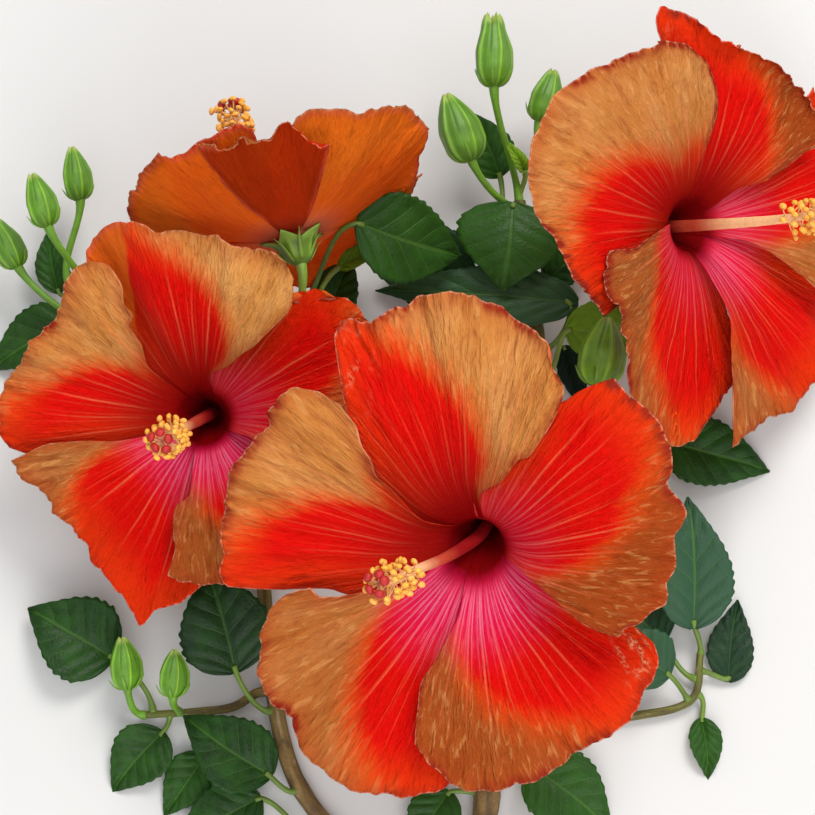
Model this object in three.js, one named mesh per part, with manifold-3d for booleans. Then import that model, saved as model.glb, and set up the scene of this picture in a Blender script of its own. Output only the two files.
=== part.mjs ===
// A cut branch of hibiscus in flower: four open blooms, buds and leaves on a forking woody stem.
// Millimetres. The branch lies on a level surface at z = 0 with its blooms turned up,
// x runs across it and y from the cut towards its tips.
import * as THREE from 'three';
import { mergeVertices } from 'three/addons/utils/BufferGeometryUtils.js';
import Module from 'manifold-3d';

const wasm = await Module();
wasm.setup();

// Driving dimensions of a bloom
const tubeDepth = 26;          // from the throat's plane down to the foot of the petals
const tubeTop = -6;            // height at which the petals leave the tube
const tubeShare = 0.34;        // share of a petal's length that forms the tube
const tubeFootRadius = 3.5;
const tubeMouthRadius = 9.5;
const tubeWall = 1.4;
const petalThickness = 1.2;
const petalRoot = 0.27;        // where a petal starts inside the tube's wall
const tuck = 6;                // degrees that a petal reaches under its neighbour
const ruffle = 1.6;            // height of the waves at a petal's rim
const calyxFoot = -31;
const calyxMouth = -18;
const calyxTip = -13;
const calyxWall = 1.2;
const bractLength = 11;
const bractCount = 5;
const bloomSides = 10;         // two to each lobe of the calyx

// Driving dimensions of the column, the buds and the leaves
const columnRadius = 2.3;
const antherCount = 8;
const antherRadius = 1.6;
const filamentLength = 3.4;
const filamentRadius = 0.55;
const stigmaCount = 5;
const stigmaRadius = 1.7;
const styleLength = 5;
const pedicelRadius = 1.5;
const petioleRadius = 1.1;
const leafThickness = 0.9;
const seatGap = 0.35;          // clearance between a piece and what carries it
const limbSides = 8;

// Brings the origin under the middle of the branch's box, level with its lowest point
const middleX = 6.27;
const middleY = -37.7;
const lowest = 0.51;

const degrees = Math.PI / 180;
const goldenAngle = 137.5 * degrees;
const bractTurn = (360 / bractCount) * degrees;

// Each limb's centre line, its radius from foot to tip, and the nodes that it is cut into
const limbs = {
  main: {
    points: [[8, -230, 5.6], [19, -178, 5.2], [28, -122, 4.9], [27, -85, 5], [33, -37, 8],
      [47, 14, 13], [47, 47, 15], [43, 72, 16], [41, 95, 17]],
    radius: [5.4, 2.2],
    nodes: [['stem_foot', 0, 0.165], ['stem_right', 0.165, 0.79], ['stem_top', 0.79, 1]],
  },
  left: {
    carrier: 'main',
    points: [[16, -184, 5], [-3, -156, 4.2], [-26, -134, 3.9], [-41, -112, 4], [-49, -76, 5],
      [-52, -36, 7], [-53, 8, 10], [-48, 40, 14], [-39, 52, 18]],
    radius: [3.7, 2],
    nodes: [['stem_left', 0, 0.82], ['stem_left_top', 0.82, 1]],
  },
  twigLeft: {
    carrier: 'left',
    points: [[-53, 11, 10], [-80, 33, 10], [-107, 50, 12], [-122, 62, 16]],
    radius: [1.9, 1.3],
    nodes: [['twig_left', 0, 1]],
  },
  twigLow: {
    carrier: 'left',
    points: [[-48, -83, 5], [-62, -89, 5], [-78, -91, 5], [-94, -92, 5]],
    radius: [1.8, 1.2],
    nodes: [['twig_low', 0, 1]],
  },
  twigRight: {
    carrier: 'main',
    points: [[27, -83, 5], [55, -92, 4], [83, -92, 4], [102, -86, 4.5], [105, -70, 6]],
    radius: [2, 1.3],
    nodes: [['twig_right', 0, 1]],
  },
};

// The blooms. Angles are degrees about the throat, anticlockwise seen from the front.
// corner and lobe are a petal's two ends at the rim: how far each is turned from the petal's
// centre line, and how far out it reaches. The lobe lies over the neighbour's corner.
// waist and shoulder are the lobe side's half widths at a third and at two thirds of the way out.
const blooms = {
  front: {
    throat: [20.6, -49.2, 89.5],
    axis: [-0.12, -0.265, 0.957],
    across: [1, 0, 0],
    lean: [4, 10],
    limb: 'main',
    column: [[4, 10, -23.6], [3.1, 7.8, -15], [1.4, 4, -5], [-7, 2, 19], [-15, 0, 32],
      [-20, -2, 41], [-23, -2, 47]],
    petals: [
      { centre: 96, corner: [25, 86], mid: 88, lobe: [33, 67], waist: 14, shoulder: 37, rise: 10 },
      { centre: 158, corner: [29, 84], mid: 84, lobe: [26, 76], waist: 14, shoulder: 24, rise: 8 },
      { centre: 228, corner: [38, 77], mid: 85, lobe: [39, 57], waist: 26, shoulder: 34, rise: 6 },
      { centre: 295, corner: [41, 70], mid: 75, lobe: [41, 63], waist: 36, shoulder: 46, rise: 4 },
      { centre: 377, corner: [37, 77], mid: 72, lobe: [42, 53], waist: 36, shoulder: 46, rise: 12 },
    ],
  },
  left: {
    throat: [-72.1, 5.8, 52.2],
    axis: [-0.12, -0.303, 0.945],
    across: [1, 0, 0],
    lean: [0, 0],
    limb: 'left',
    column: [[0, 0, -24.2], [0, 0, 0], [-1, -0.5, 18], [-2.5, -1.5, 36], [-3.3, -2, 46]],
    petals: [
      { centre: 82, corner: [27, 73], mid: 64, lobe: [26, 58], waist: 22, shoulder: 30, rise: 10 },
      { centre: 155, corner: [34, 70], mid: 67, lobe: [32, 66], waist: 26, shoulder: 35, rise: 6 },
      { centre: 227, corner: [26, 76], mid: 60, lobe: [35, 66], waist: 30, shoulder: 38, rise: 2 },
      { centre: 299, corner: [34, 62], mid: 57, lobe: [41, 64], waist: 38, shoulder: 43, rise: 2 },
      { centre: 371, corner: [29, 70], mid: 68, lobe: [34, 62], waist: 28, shoulder: 36, rise: 8 },
    ],
  },
  right: {
    throat: [102.1, 73.1, 62.4],
    axis: [0.6, -0.186, 0.778],
    across: [1, 0, 0],
    lean: [0, 0],
    limb: 'main',
    column: [[0, 0, -24.2], [0, 0, 0], [0, 0.5, 35], [0, 1.5, 55], [0, 2, 63]],
    petals: [
      { centre: 78, corner: [36, 76], mid: 62, lobe: [48, 60], waist: 35, shoulder: 44, rise: 10,
        lift: [5, 3] },
      { centre: 157, corner: [58, 57], mid: 85, lobe: [58, 56], waist: 48, shoulder: 58, rise: 8 },
      { centre: 235, corner: [34, 77], mid: 64, lobe: [41, 52], waist: 50, shoulder: 45, rise: 4 },
      { centre: 308, corner: [36, 72], mid: 75, lobe: [34, 75], waist: 26, shoulder: 35, rise: 6 },
      { centre: 368, corner: [36, 73], mid: 74, lobe: [36, 64], waist: 22, shoulder: 31, rise: 8 },
    ],
  },
  back: {
    throat: [-44.6, 88.8, 62],
    axis: [-0.25, 0.968, -0.009],
    across: [0.967, 0.247, 0.052],
    lean: [0, 0],
    limb: 'left',
    share: 0.9,
    column: [[0, 0, -24.2], [-0.5, 0, 0], [-3.5, 0, 13], [-10, 0.5, 23], [-12, -1, 35]],
    petals: [
      { centre: 58, corner: [38, 57], mid: 58, lobe: [36, 56], waist: 30, shoulder: 38, rise: -13 },
      { centre: 140, corner: [38, 55], mid: 57, lobe: [38, 54], waist: 30, shoulder: 40, rise: 0 },
      { centre: 208, corner: [42, 54], mid: 57, lobe: [34, 55], waist: 30, shoulder: 36, rise: 9 },
      { centre: 272, corner: [26, 50], mid: 53, lobe: [28, 51], waist: 26, shoulder: 30, rise: 5 },
      { centre: 336, corner: [40, 52], mid: 55, lobe: [38, 54], waist: 30, shoulder: 38, rise: 9 },
    ],
  },
};

// Buds: the limb and the share of its length that each one leaves from, where its foot is,
// which way it points, and its size
const buds = [
  { name: 'bud_tip', limb: 'main', share: 1, foot: [31, 129, 46], heading: 91, rise: 9,
    length: 27, width: 14.5 },
  { name: 'bud_tip_left', limb: 'main', share: 0.99, foot: [23, 102, 44], heading: 112, rise: 14,
    length: 26, width: 16.5 },
  { name: 'bud_tip_right', limb: 'main', share: 0.97, foot: [48, 122, 28], heading: 74, rise: 12,
    length: 20, width: 13 },
  { name: 'bud_middle', limb: 'main', share: 0.74, foot: [69, 19, 44], heading: 78, rise: 5,
    length: 24, width: 16 },
  { name: 'bud_left_high', limb: 'twigLeft', share: 1, foot: [-119, 93, 25], heading: 100,
    rise: 12, length: 20, width: 11.5 },
  { name: 'bud_left_middle', limb: 'twigLeft', share: 0.9, foot: [-128, 78, 43], heading: 108,
    rise: 12, length: 20, width: 12 },
  { name: 'bud_left_low', limb: 'twigLeft', share: 0.84, foot: [-141, 68, 24], heading: 118,
    rise: 12, length: 20, width: 12 },
  { name: 'bud_low_left', limb: 'twigLow', share: 1, foot: [-99, -84, 15], heading: 97, rise: 14,
    length: 19, width: 12.5 },
  { name: 'bud_low_right', limb: 'twigLow', share: 0.72, foot: [-82, -88, 27], heading: 88,
    rise: 14, length: 17, width: 11.5 },
];

// Leaves: the limb and share that each leaves from, the foot of its blade, which way the blade
// points and climbs, and its size. roll turns a blade about its midrib, fold lifts its two halves
// and arch bows its midrib up.
const leaves = [
  { name: 'leaf_centre', limb: 'main', share: 0.97, foot: [38, 90, 33], heading: 263, rise: -11,
    length: 32, width: 40, roll: 0, fold: -10, arch: 4 },
  { name: 'leaf_centre_back', limb: 'left', share: 1, foot: [-18, 76, 56], heading: 352, rise: -33,
    length: 46, width: 32, roll: 12, fold: 6, arch: 3 },
  { name: 'leaf_centre_dark', limb: 'main', share: 0.85, foot: [25, 71, 7], heading: 185, rise: 2,
    length: 34, width: 36, roll: -10, fold: 4, arch: 1 },
  { name: 'leaf_long', limb: 'main', share: 0.83, foot: [62, 56, 20], heading: 176, rise: -1,
    length: 74, width: 22, roll: -4, fold: 6, arch: 2 },
  { name: 'leaf_top', limb: 'main', share: 0.935, foot: [34, 104, 18], heading: 115, rise: 16,
    length: 26, width: 18, roll: 0, fold: 12, arch: 2 },
  { name: 'leaf_right_small', limb: 'main', share: 0.88, foot: [51, 66, 9], heading: 42, rise: 4,
    length: 26, width: 16, roll: 0, fold: 10, arch: 1 },
  { name: 'leaf_bright', limb: 'main', share: 0.8, foot: [57, 45, 24], heading: 357, rise: 6,
    length: 35, width: 22, roll: 10, fold: 8, arch: 2 },
  { name: 'leaf_narrow_dark', limb: 'main', share: 0.75, foot: [57, 42, 11], heading: 286,
    rise: -6, length: 25, width: 11, roll: 0, fold: 16, arch: 1 },
  { name: 'leaf_inner', limb: 'left', share: 0.94, foot: [-30, 52, 10], heading: 68, rise: 8,
    length: 26, width: 18, roll: 0, fold: 10, arch: 1 },
  { name: 'leaf_inner_dark', limb: 'left', share: 0.86, foot: [-38, 36, 6], heading: 12, rise: 2,
    length: 36, width: 22, roll: 0, fold: 8, arch: 1 },
  { name: 'leaf_young', limb: 'left', share: 0.93, foot: [-25, 67, 27], heading: 25, rise: -4,
    length: 18, width: 8, roll: 0, fold: 16, arch: 3 },
  { name: 'leaf_right_tall', limb: 'twigRight', share: 1, foot: [102, -62, 12], heading: 92,
    rise: 12, length: 47, width: 28, roll: 4, fold: 8, arch: 3 },
  { name: 'leaf_right_round', limb: 'twigRight', share: 0.9, foot: [92, -66, 4], heading: 135,
    rise: 2, length: 26, width: 24, roll: 0, fold: 4, arch: 1 },
  { name: 'leaf_right_dark', limb: 'twigRight', share: 0.93, foot: [115, -80, 3], heading: 82,
    rise: 0, length: 30, width: 17, roll: 0, fold: 4, arch: 1 },
  { name: 'leaf_right_pale', limb: 'twigRight', share: 0.8, foot: [93, -79, 14], heading: 148,
    rise: 4, length: 26, width: 22, roll: 0, fold: 8, arch: 3 },
  { name: 'leaf_right_tip', limb: 'twigRight', share: 0.84, foot: [105, -93, 4], heading: 276,
    rise: -6, length: 22, width: 12, roll: 0, fold: 8, arch: 2 },
  { name: 'leaf_low_left', limb: 'twigLow', share: 0.93, foot: [-105, -72, 6], heading: 150,
    rise: 6, length: 36, width: 32, roll: 0, fold: 10, arch: 3 },
  { name: 'leaf_low_high', limb: 'left', share: 0.44, foot: [-61, -78, 14], heading: 106, rise: 10,
    length: 40, width: 34, roll: 0, fold: 8, arch: 3 },
  { name: 'leaf_low_middle', limb: 'left', share: 0.33, foot: [-48, -114, 9], heading: 146,
    rise: 5, length: 38, width: 27, roll: 0, fold: 8, arch: 4 },
  { name: 'leaf_low_hanging', limb: 'twigLow', share: 0.8, foot: [-87, -98, 5], heading: 229,
    rise: -6, length: 28, width: 22, roll: 0, fold: 8, arch: 2 },
  { name: 'leaf_low_pale', limb: 'twigLow', share: 0.5, foot: [-72, -106, 3], heading: 236,
    rise: -3, length: 26, width: 18, roll: 0, fold: 6, arch: 1 },
  { name: 'leaf_foot_left', limb: 'left', share: 0.26, foot: [-52, -121, 5], heading: 206,
    rise: -5, length: 34, width: 24, roll: 0, fold: 6, arch: 2 },
  { name: 'leaf_far_left', limb: 'twigLeft', share: 0.78, foot: [-120, 52, 9], heading: 207,
    rise: -9, length: 38, width: 24, roll: 0, fold: 8, arch: 2 },
  { name: 'leaf_left_small', limb: 'twigLeft', share: 0.95, foot: [-128, 62, 10], heading: 100,
    rise: 4, length: 24, width: 13, roll: 0, fold: 12, arch: 1 },
  { name: 'leaf_under_right', limb: 'main', share: 0.7, foot: [92, 8, 6], heading: 345, rise: -4,
    length: 42, width: 26, roll: 0, fold: 6, arch: 2 },
  { name: 'leaf_foot_middle', limb: 'main', share: 0.34, foot: [15, -119, 6], heading: 237,
    rise: -8, length: 26, width: 19, roll: 0, fold: 6, arch: 2 },
  { name: 'leaf_foot_right', limb: 'main', share: 0.36, foot: [43, -110, 7], heading: 322,
    rise: -6, length: 38, width: 28, roll: 0, fold: 6, arch: 2 },
  { name: 'leaf_stem_right', limb: 'main', share: 0.23, foot: [36, -149, 7], heading: 318,
    rise: -7, length: 40, width: 28, roll: 0, fold: 6, arch: 2 },
  { name: 'leaf_stem_left', limb: 'left', share: 0.16, foot: [-27, -162, 6], heading: 222,
    rise: -6, length: 40, width: 28, roll: 0, fold: 6, arch: 2 },
];

const colours = {
  petalFront: [0xd8401c, 0.6],
  petalLeft: [0xd43a1c, 0.6],
  petalRight: [0xd23a1e, 0.6],
  petalBack: [0xcc5a20, 0.65],
  column: [0xe8c25a, 0.6],
  calyx: [0x6f9a34, 0.55],
  bud: [0x74a83a, 0.55],
  leaf: [0x2f5a30, 0.45],
  leafBright: [0x5f9a38, 0.5],
  stem: [0x7a5a38, 0.8],
};
const brightLeaves = ['leaf_bright', 'leaf_young'];

function vector(values) {
  return new THREE.Vector3(...values);
}

function smooth(x) {
  const c = Math.min(Math.max(x, 0), 1);
  return c * c * (3 - 2 * c);
}

// A curve through the knots that never overshoots them
function through(knots, t) {
  const last = knots.length - 1;
  let i = 0;
  while (i < last - 1 && t > knots[i + 1][0]) i += 1;
  const slope = (k) => (knots[k + 1][1] - knots[k][1]) / (knots[k + 1][0] - knots[k][0]);
  const tangent = (k) => {
    if (k === 0) return slope(0);
    if (k === last) return slope(last - 1);
    const before = slope(k - 1);
    const after = slope(k);
    return before * after <= 0 ? 0 : (2 * before * after) / (before + after);
  };
  const width = knots[i + 1][0] - knots[i][0];
  const x = Math.min(Math.max((t - knots[i][0]) / width, 0), 1);
  const rising = x * x * (3 - 2 * x);
  return knots[i][1] * (1 - rising) + knots[i + 1][1] * rising
    + width * (tangent(i) * x * (1 - x) * (1 - x) - tangent(i + 1) * x * x * (1 - x));
}

// A closed mesh with its faces turned out, from points and faces of three or four corners
function closedMesh(points, faces) {
  const triangles = faces.flatMap(
    ([a, b, c, d]) => (d === undefined ? [[a, b, c]] : [[a, b, c], [a, c, d]]));
  const volume = triangles.reduce(
    (sum, [a, b, c]) => sum + points[a].dot(points[b].clone().cross(points[c])), 0);
  const turned = volume < 0 ? triangles.map(([a, b, c]) => [a, c, b]) : triangles;
  const geometry = new THREE.BufferGeometry();
  geometry.setAttribute('position',
    new THREE.Float32BufferAttribute(points.flatMap((p) => [p.x, p.y, p.z]), 3));
  geometry.setIndex(turned.flat());
  return geometry;
}

// Rings of equally many points joined into one closed body. A ring of one point is a pole.
function loft(rings) {
  const points = rings.flat();
  const starts = [];
  rings.reduce((sum, ring) => {
    starts.push(sum);
    return sum + ring.length;
  }, 0);
  const faces = [];
  const sides = Math.max(...rings.map((ring) => ring.length));
  for (let r = 0; r < rings.length - 1; r += 1) {
    for (let k = 0; k < sides; k += 1) {
      const next = (k + 1) % sides;
      const low = starts[r];
      const high = starts[r + 1];
      if (rings[r].length === 1) faces.push([low, high + next, high + k]);
      else if (rings[r + 1].length === 1) faces.push([low + k, low + next, high]);
      else faces.push([low + k, low + next, high + next, high + k]);
    }
  }
  const cap = (start, ring) => {
    for (let k = 1; k < ring.length - 1; k += 1) {
      faces.push(start === 0 ? [0, k + 1, k] : [start, start + k, start + k + 1]);
    }
  };
  cap(0, rings[0]);
  cap(starts[starts.length - 1], rings[rings.length - 1]);
  return closedMesh(points, faces);
}

// A thin closed sheet about the surface that point(u, v) gives, u and v from 0 to 1
function sheet(point, across, along, thickness) {
  const top = [];
  const under = [];
  const step = 1e-3;
  for (let j = 0; j <= along; j += 1) {
    for (let i = 0; i <= across; i += 1) {
      const u = i / across;
      const v = j / along;
      const alongU = point(Math.min(u + step, 1), v).sub(point(Math.max(u - step, 0), v));
      const alongV = point(u, Math.min(v + step, 1)).sub(point(u, Math.max(v - step, 0)));
      const normal = alongU.cross(alongV).normalize();
      top.push(point(u, v).addScaledVector(normal, thickness / 2));
      under.push(point(u, v).addScaledVector(normal, -thickness / 2));
    }
  }
  const wide = across + 1;
  const half = top.length;
  const faces = [];
  for (let j = 0; j < along; j += 1) {
    for (let i = 0; i < across; i += 1) {
      const a = j * wide + i;
      faces.push([a, a + 1, a + wide + 1, a + wide]);
      faces.push([half + a, half + a + wide, half + a + wide + 1, half + a + 1]);
    }
  }
  const rim = [];
  for (let i = 0; i < across; i += 1) rim.push(i);
  for (let j = 0; j < along; j += 1) rim.push(j * wide + across);
  for (let i = across; i > 0; i -= 1) rim.push(along * wide + i);
  for (let j = along; j > 0; j -= 1) rim.push(j * wide);
  rim.forEach((a, k) => {
    const b = rim[(k + 1) % rim.length];
    faces.push([a, half + a, half + b, b]);
  });
  return closedMesh([...top, ...under], faces);
}

// A tube along a curve whose radius follows radiusAt(share)
function tube(curve, radiusAt, sides, steps, from = 0, to = 1) {
  const rings = [];
  const start = curve.getTangentAt(from);
  const across = new THREE.Vector3(start.z, start.x, start.y).cross(start);
  for (let j = 0; j <= steps; j += 1) {
    const share = from + ((to - from) * j) / steps;
    const centre = curve.getPointAt(share);
    const forward = curve.getTangentAt(share);
    across.addScaledVector(forward, -across.dot(forward)).normalize();
    const side = across.clone();
    const rise = forward.clone().cross(side);
    rings.push(Array.from({ length: sides }, (_, k) => {
      const angle = ((k + 0.5) / sides) * 2 * Math.PI;
      return centre.clone().addScaledVector(side, radiusAt(share) * Math.cos(angle))
        .addScaledVector(rise, radiusAt(share) * Math.sin(angle));
    }));
  }
  return loft(rings);
}

function toSolid(geometry) {
  const bare = geometry.clone();
  bare.deleteAttribute('normal');
  bare.deleteAttribute('uv');
  const merged = mergeVertices(bare, 1e-4);
  return new wasm.Manifold(new wasm.Mesh({
    numProp: 3,
    vertProperties: new Float32Array(merged.attributes.position.array),
    triVerts: new Uint32Array(merged.index.array),
  }));
}

// Joins overlapping closed meshes into one and drops any loose scrap
function fuse(geometries) {
  const joined = geometries.map(toSolid).reduce((sum, solid) => sum.add(solid));
  const pieces = joined.decompose().sort((a, b) => b.volume() - a.volume());
  const mesh = pieces[0].getMesh();
  const geometry = new THREE.BufferGeometry();
  geometry.setAttribute('position', new THREE.BufferAttribute(mesh.vertProperties, 3));
  geometry.setIndex(new THREE.BufferAttribute(mesh.triVerts, 1));
  return geometry;
}

const branch = new THREE.Group();
branch.position.set(-middleX, -middleY, -lowest);

function addPiece(name, geometry, [colour, roughness], matrix) {
  const material = new THREE.MeshStandardMaterial({ color: colour, roughness, metalness: 0 });
  geometry.computeVertexNormals();
  const mesh = new THREE.Mesh(geometry, material);
  mesh.name = name;
  if (matrix) mesh.applyMatrix4(matrix);
  branch.add(mesh);
}

// Limbs

function limbRadius(limb, share) {
  return limb.radius[0] + (limb.radius[1] - limb.radius[0]) * share;
}

// The nearest place on a limb to a point, as a share of its length
function nearestShare(limb, target) {
  const steps = 200;
  let best = 0;
  for (let j = 0; j <= steps; j += 1) {
    const share = j / steps;
    const gap = limb.curve.getPointAt(share).distanceTo(target);
    if (gap < limb.curve.getPointAt(best).distanceTo(target)) best = share;
  }
  return best;
}

// A seat just clear of a limb's bark on the side that faces target, and the way out of it
function seatOn(limb, share, target) {
  const centre = limb.curve.getPointAt(share);
  const along = limb.curve.getTangentAt(share);
  if (share === 1) return { point: centre.addScaledVector(along, seatGap), out: along };
  const out = target.clone().sub(centre);
  out.addScaledVector(along, -out.dot(along)).normalize();
  const point = centre.clone().addScaledVector(out, limbRadius(limb, share) + seatGap);
  return { point, out };
}

function limbCurve(limb) {
  const points = limb.points.map(vector);
  if (limb.carrier) {
    const carrier = limbs[limb.carrier];
    const seat = seatOn(carrier, nearestShare(carrier, points[0]), points[1]);
    points.splice(0, 1, seat.point, seat.point.clone().addScaledVector(seat.out, limb.radius[0] * 1.5));
  }
  return new THREE.CatmullRomCurve3(points, false, 'centripetal');
}

function addLimb(limb) {
  const stepLength = 4 * limb.radius[0];
  const half = (0.5 * seatGap) / limb.curve.getLength();
  limb.nodes.forEach(([name, start, end]) => {
    const from = start === 0 ? 0 : start + half;
    const to = end === 1 ? 1 : end - half;
    const steps = Math.max(3, Math.round(((to - from) * limb.curve.getLength()) / stepLength));
    const radiusAt = (share) => limbRadius(limb, share);
    addPiece(name, tube(limb.curve, radiusAt, limbSides, steps, from, to), colours.stem);
  });
}

Object.values(limbs).forEach((limb) => {
  limb.curve = limbCurve(limb);
});
Object.values(limbs).forEach(addLimb);

// Blooms

function bloomFrame(bloom) {
  const axis = vector(bloom.axis).normalize();
  const across = vector(bloom.across);
  across.addScaledVector(axis, -across.dot(axis)).normalize();
  const frame = new THREE.Matrix4().makeBasis(across, axis.clone().cross(across), axis);
  return frame.setPosition(...bloom.throat);
}

// The tube's shape: how far it has opened and how deep it is at share t of a petal's length
function tubeRadius(t) {
  return tubeFootRadius + (tubeMouthRadius - tubeFootRadius) * Math.max(t / tubeShare, 0) ** 1.6;
}

function tubeHeight(t) {
  return -tubeDepth + (tubeDepth + tubeTop) * (t / tubeShare);
}

function shareAtHeight(height) {
  return (tubeShare * (height + tubeDepth)) / (tubeDepth + tubeTop);
}

// The tube leans to one side below the throat
function leanAt(bloom, t) {
  const straightened = 0.6;
  const amount = 1 - smooth(t / straightened);
  return [bloom.lean[0] * amount, bloom.lean[1] * amount];
}

// How far a petal's two edges are turned from its centre line, from its foot to its rim
function petalEdges(bloom, index) {
  const petal = bloom.petals[index];
  const next = bloom.petals[(index + 1) % bloom.petals.length];
  const spacing = (next.centre - petal.centre + 360) % 360;
  const footTurn = 36;
  const waistTuck = spacing - next.waist + tuck;
  const shoulderTuck = Math.max(spacing - next.shoulder + tuck, petal.corner[0]);
  return {
    cornerSide: [[0, footTurn], [tubeShare, waistTuck], [0.5, waistTuck], [0.68, shoulderTuck],
      [0.84, shoulderTuck], [1, petal.corner[0]]],
    lobeSide: [[0, footTurn], [tubeShare, petal.waist + tuck], [0.5, petal.waist],
      [0.66, petal.shoulder], [0.86, petal.shoulder], [1, petal.lobe[0]]],
  };
}

// A point of a petal: s runs from -1 at the corner's edge to 1 at the lobe's, t from foot to rim
function petalPoint(bloom, index, s, t) {
  const petal = bloom.petals[index];
  const edges = petalEdges(bloom, index);
  const turn = s < 0 ? -s * through(edges.cornerSide, t) : -s * through(edges.lobeSide, t);
  const angle = (petal.centre + turn) * degrees;
  const reach = s < 0
    ? petal.mid + (petal.corner[1] - petal.mid) * (-s) ** 1.5
    : petal.mid + (petal.lobe[1] - petal.mid) * s ** 1.4;
  let radius = tubeRadius(t);
  let height = tubeHeight(t);
  if (t > tubeShare) {
    const out = (t - tubeShare) / (1 - tubeShare);
    radius = tubeMouthRadius + (reach - tubeMouthRadius) * (0.35 * out + 0.65 * out ** 1.5);
    height = tubeTop + (petal.rise - tubeTop) * (1 - (1 - out) ** 2.2);
  }
  const lift = petal.lift ?? [-3, 3];
  const sideLift = (s < 0 ? -s * lift[0] : s * lift[1]) * (0.3 + 0.7 * smooth((t - 0.3) / 0.5));
  const wave = ruffle * Math.sin(3 * Math.PI * s + index * 1.7) * t ** 4;
  const [leanX, leanY] = leanAt(bloom, t);
  return new THREE.Vector3(
    leanX + radius * Math.cos(angle), leanY + radius * Math.sin(angle), height + sideLift + wave);
}

// A ring about the tube's leaning centre line
function tubeRing(bloom, height, radius) {
  const [leanX, leanY] = leanAt(bloom, shareAtHeight(height));
  return Array.from({ length: bloomSides }, (_, k) => {
    const angle = (k / bloomSides) * 2 * Math.PI;
    return new THREE.Vector3(leanX + radius * Math.cos(angle), leanY + radius * Math.sin(angle), height);
  });
}

function tubePole(bloom, height) {
  const [leanX, leanY] = leanAt(bloom, shareAtHeight(height));
  return [new THREE.Vector3(leanX, leanY, height)];
}

// The funnel that the petals' feet form, open at its mouth
function corollaTube(bloom) {
  const outerShares = [0, 0.1, 0.22, 0.34];
  const innerShares = [0.33, 0.22, 0.1];
  const half = tubeWall / 2;
  return loft([
    tubePole(bloom, tubeHeight(0)),
    ...outerShares.map((t) => tubeRing(bloom, tubeHeight(t), tubeRadius(t) + half)),
    ...innerShares.map((t) => tubeRing(bloom, tubeHeight(t), tubeRadius(t) - half)),
    tubePole(bloom, tubeHeight(0) + tubeWall),
  ].map((ring, k, all) => (k === all.length - 2
    ? tubeRing(bloom, tubeHeight(0) + tubeWall, tubeFootRadius - half) : ring)));
}

function corolla(bloom) {
  const across = 4;
  const along = 6;
  const petals = bloom.petals.map((_, index) => sheet(
    (u, v) => petalPoint(bloom, index, 2 * u - 1, petalRoot + (1 - petalRoot) * v),
    across, along, petalThickness));
  return fuse([corollaTube(bloom), ...petals]);
}

// A thin three-sided stalk that ends in a knob
function knobbedStalk(foot, tip, knobRadius) {
  const line = new THREE.LineCurve3(foot, tip);
  const length = foot.distanceTo(tip);
  const neck = 1 - knobRadius / length;
  const ring = (share, radius) => {
    const along = line.getTangent(0);
    const side = new THREE.Vector3(along.z, along.x, along.y).cross(along).normalize();
    return [0, 120, 240].map((turn) => line.getPoint(share).addScaledVector(
      side.clone().applyAxisAngle(along, turn * degrees), radius));
  };
  return loft([
    ring(0, filamentRadius), ring(neck, filamentRadius), ring(1, knobRadius),
    [tip.clone().addScaledVector(line.getTangent(0), 0.8 * knobRadius)]]);
}

// The column: a bent tube with anthers round its upper part and five stigma pads at its tip
function column(bloom) {
  const curve = new THREE.CatmullRomCurve3(bloom.column.map(vector), false, 'centripetal');
  const radiusAt = (share) => columnRadius * (1 - 0.45 * share);
  const parts = [tube(curve, radiusAt, 6, 7)];
  const antherStart = 0.62;
  const antherEnd = 0.96;
  for (let k = 0; k < antherCount; k += 1) {
    const share = antherStart + ((antherEnd - antherStart) * k) / (antherCount - 1);
    const centre = curve.getPointAt(share);
    const along = curve.getTangentAt(share);
    const side = new THREE.Vector3(0, 1, 0).cross(along).normalize();
    const out = side.applyAxisAngle(along, k * goldenAngle).addScaledVector(along, 0.35).normalize();
    const tip = centre.clone().addScaledVector(out, radiusAt(share) + filamentLength);
    parts.push(knobbedStalk(centre, tip, antherRadius));
  }
  const end = curve.getPointAt(1);
  const along = curve.getTangentAt(1);
  for (let k = 0; k < stigmaCount; k += 1) {
    const side = new THREE.Vector3(0, 1, 0).cross(along).normalize();
    const out = side.applyAxisAngle(along, (k / stigmaCount) * 2 * Math.PI)
      .addScaledVector(along, 1.3).normalize();
    const tip = end.clone().addScaledVector(out, styleLength);
    const foot = end.clone().addScaledVector(along, -1);
    parts.push(knobbedStalk(foot, tip, stigmaRadius));
  }
  return fuse(parts);
}

// A bract: a narrow pointed blade that bends away from the foot of a calyx or a bud
function bract(angle, footRadius, footHeight, length, spread) {
  const footHalfWidth = 1.2;
  const rings = [0, 0.5, 1].map((share) => {
    const out = footRadius + spread * share ** 1.5 * length;
    const height = footHeight + length * share;
    const half = footHalfWidth * (1 - 0.75 * share);
    return [[-1, -0.3], [1, -0.3], [0, 0.7]].map(([a, b]) => new THREE.Vector3(
      out + b, a * half, height).applyAxisAngle(new THREE.Vector3(0, 0, 1), angle));
  });
  return loft(rings);
}

// A stalk that leaves a limb and comes to a foot along its axis
function stalkCurve(carried, foot, axis) {
  const limb = limbs[carried.limb];
  const seat = seatOn(limb, carried.share ?? nearestShare(limb, foot), foot);
  const pull = seat.point.distanceTo(foot) * 0.3;
  return new THREE.CubicBezierCurve3(seat.point,
    seat.point.clone().addScaledVector(seat.out, pull),
    foot.clone().addScaledVector(axis, -pull), foot);
}

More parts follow.
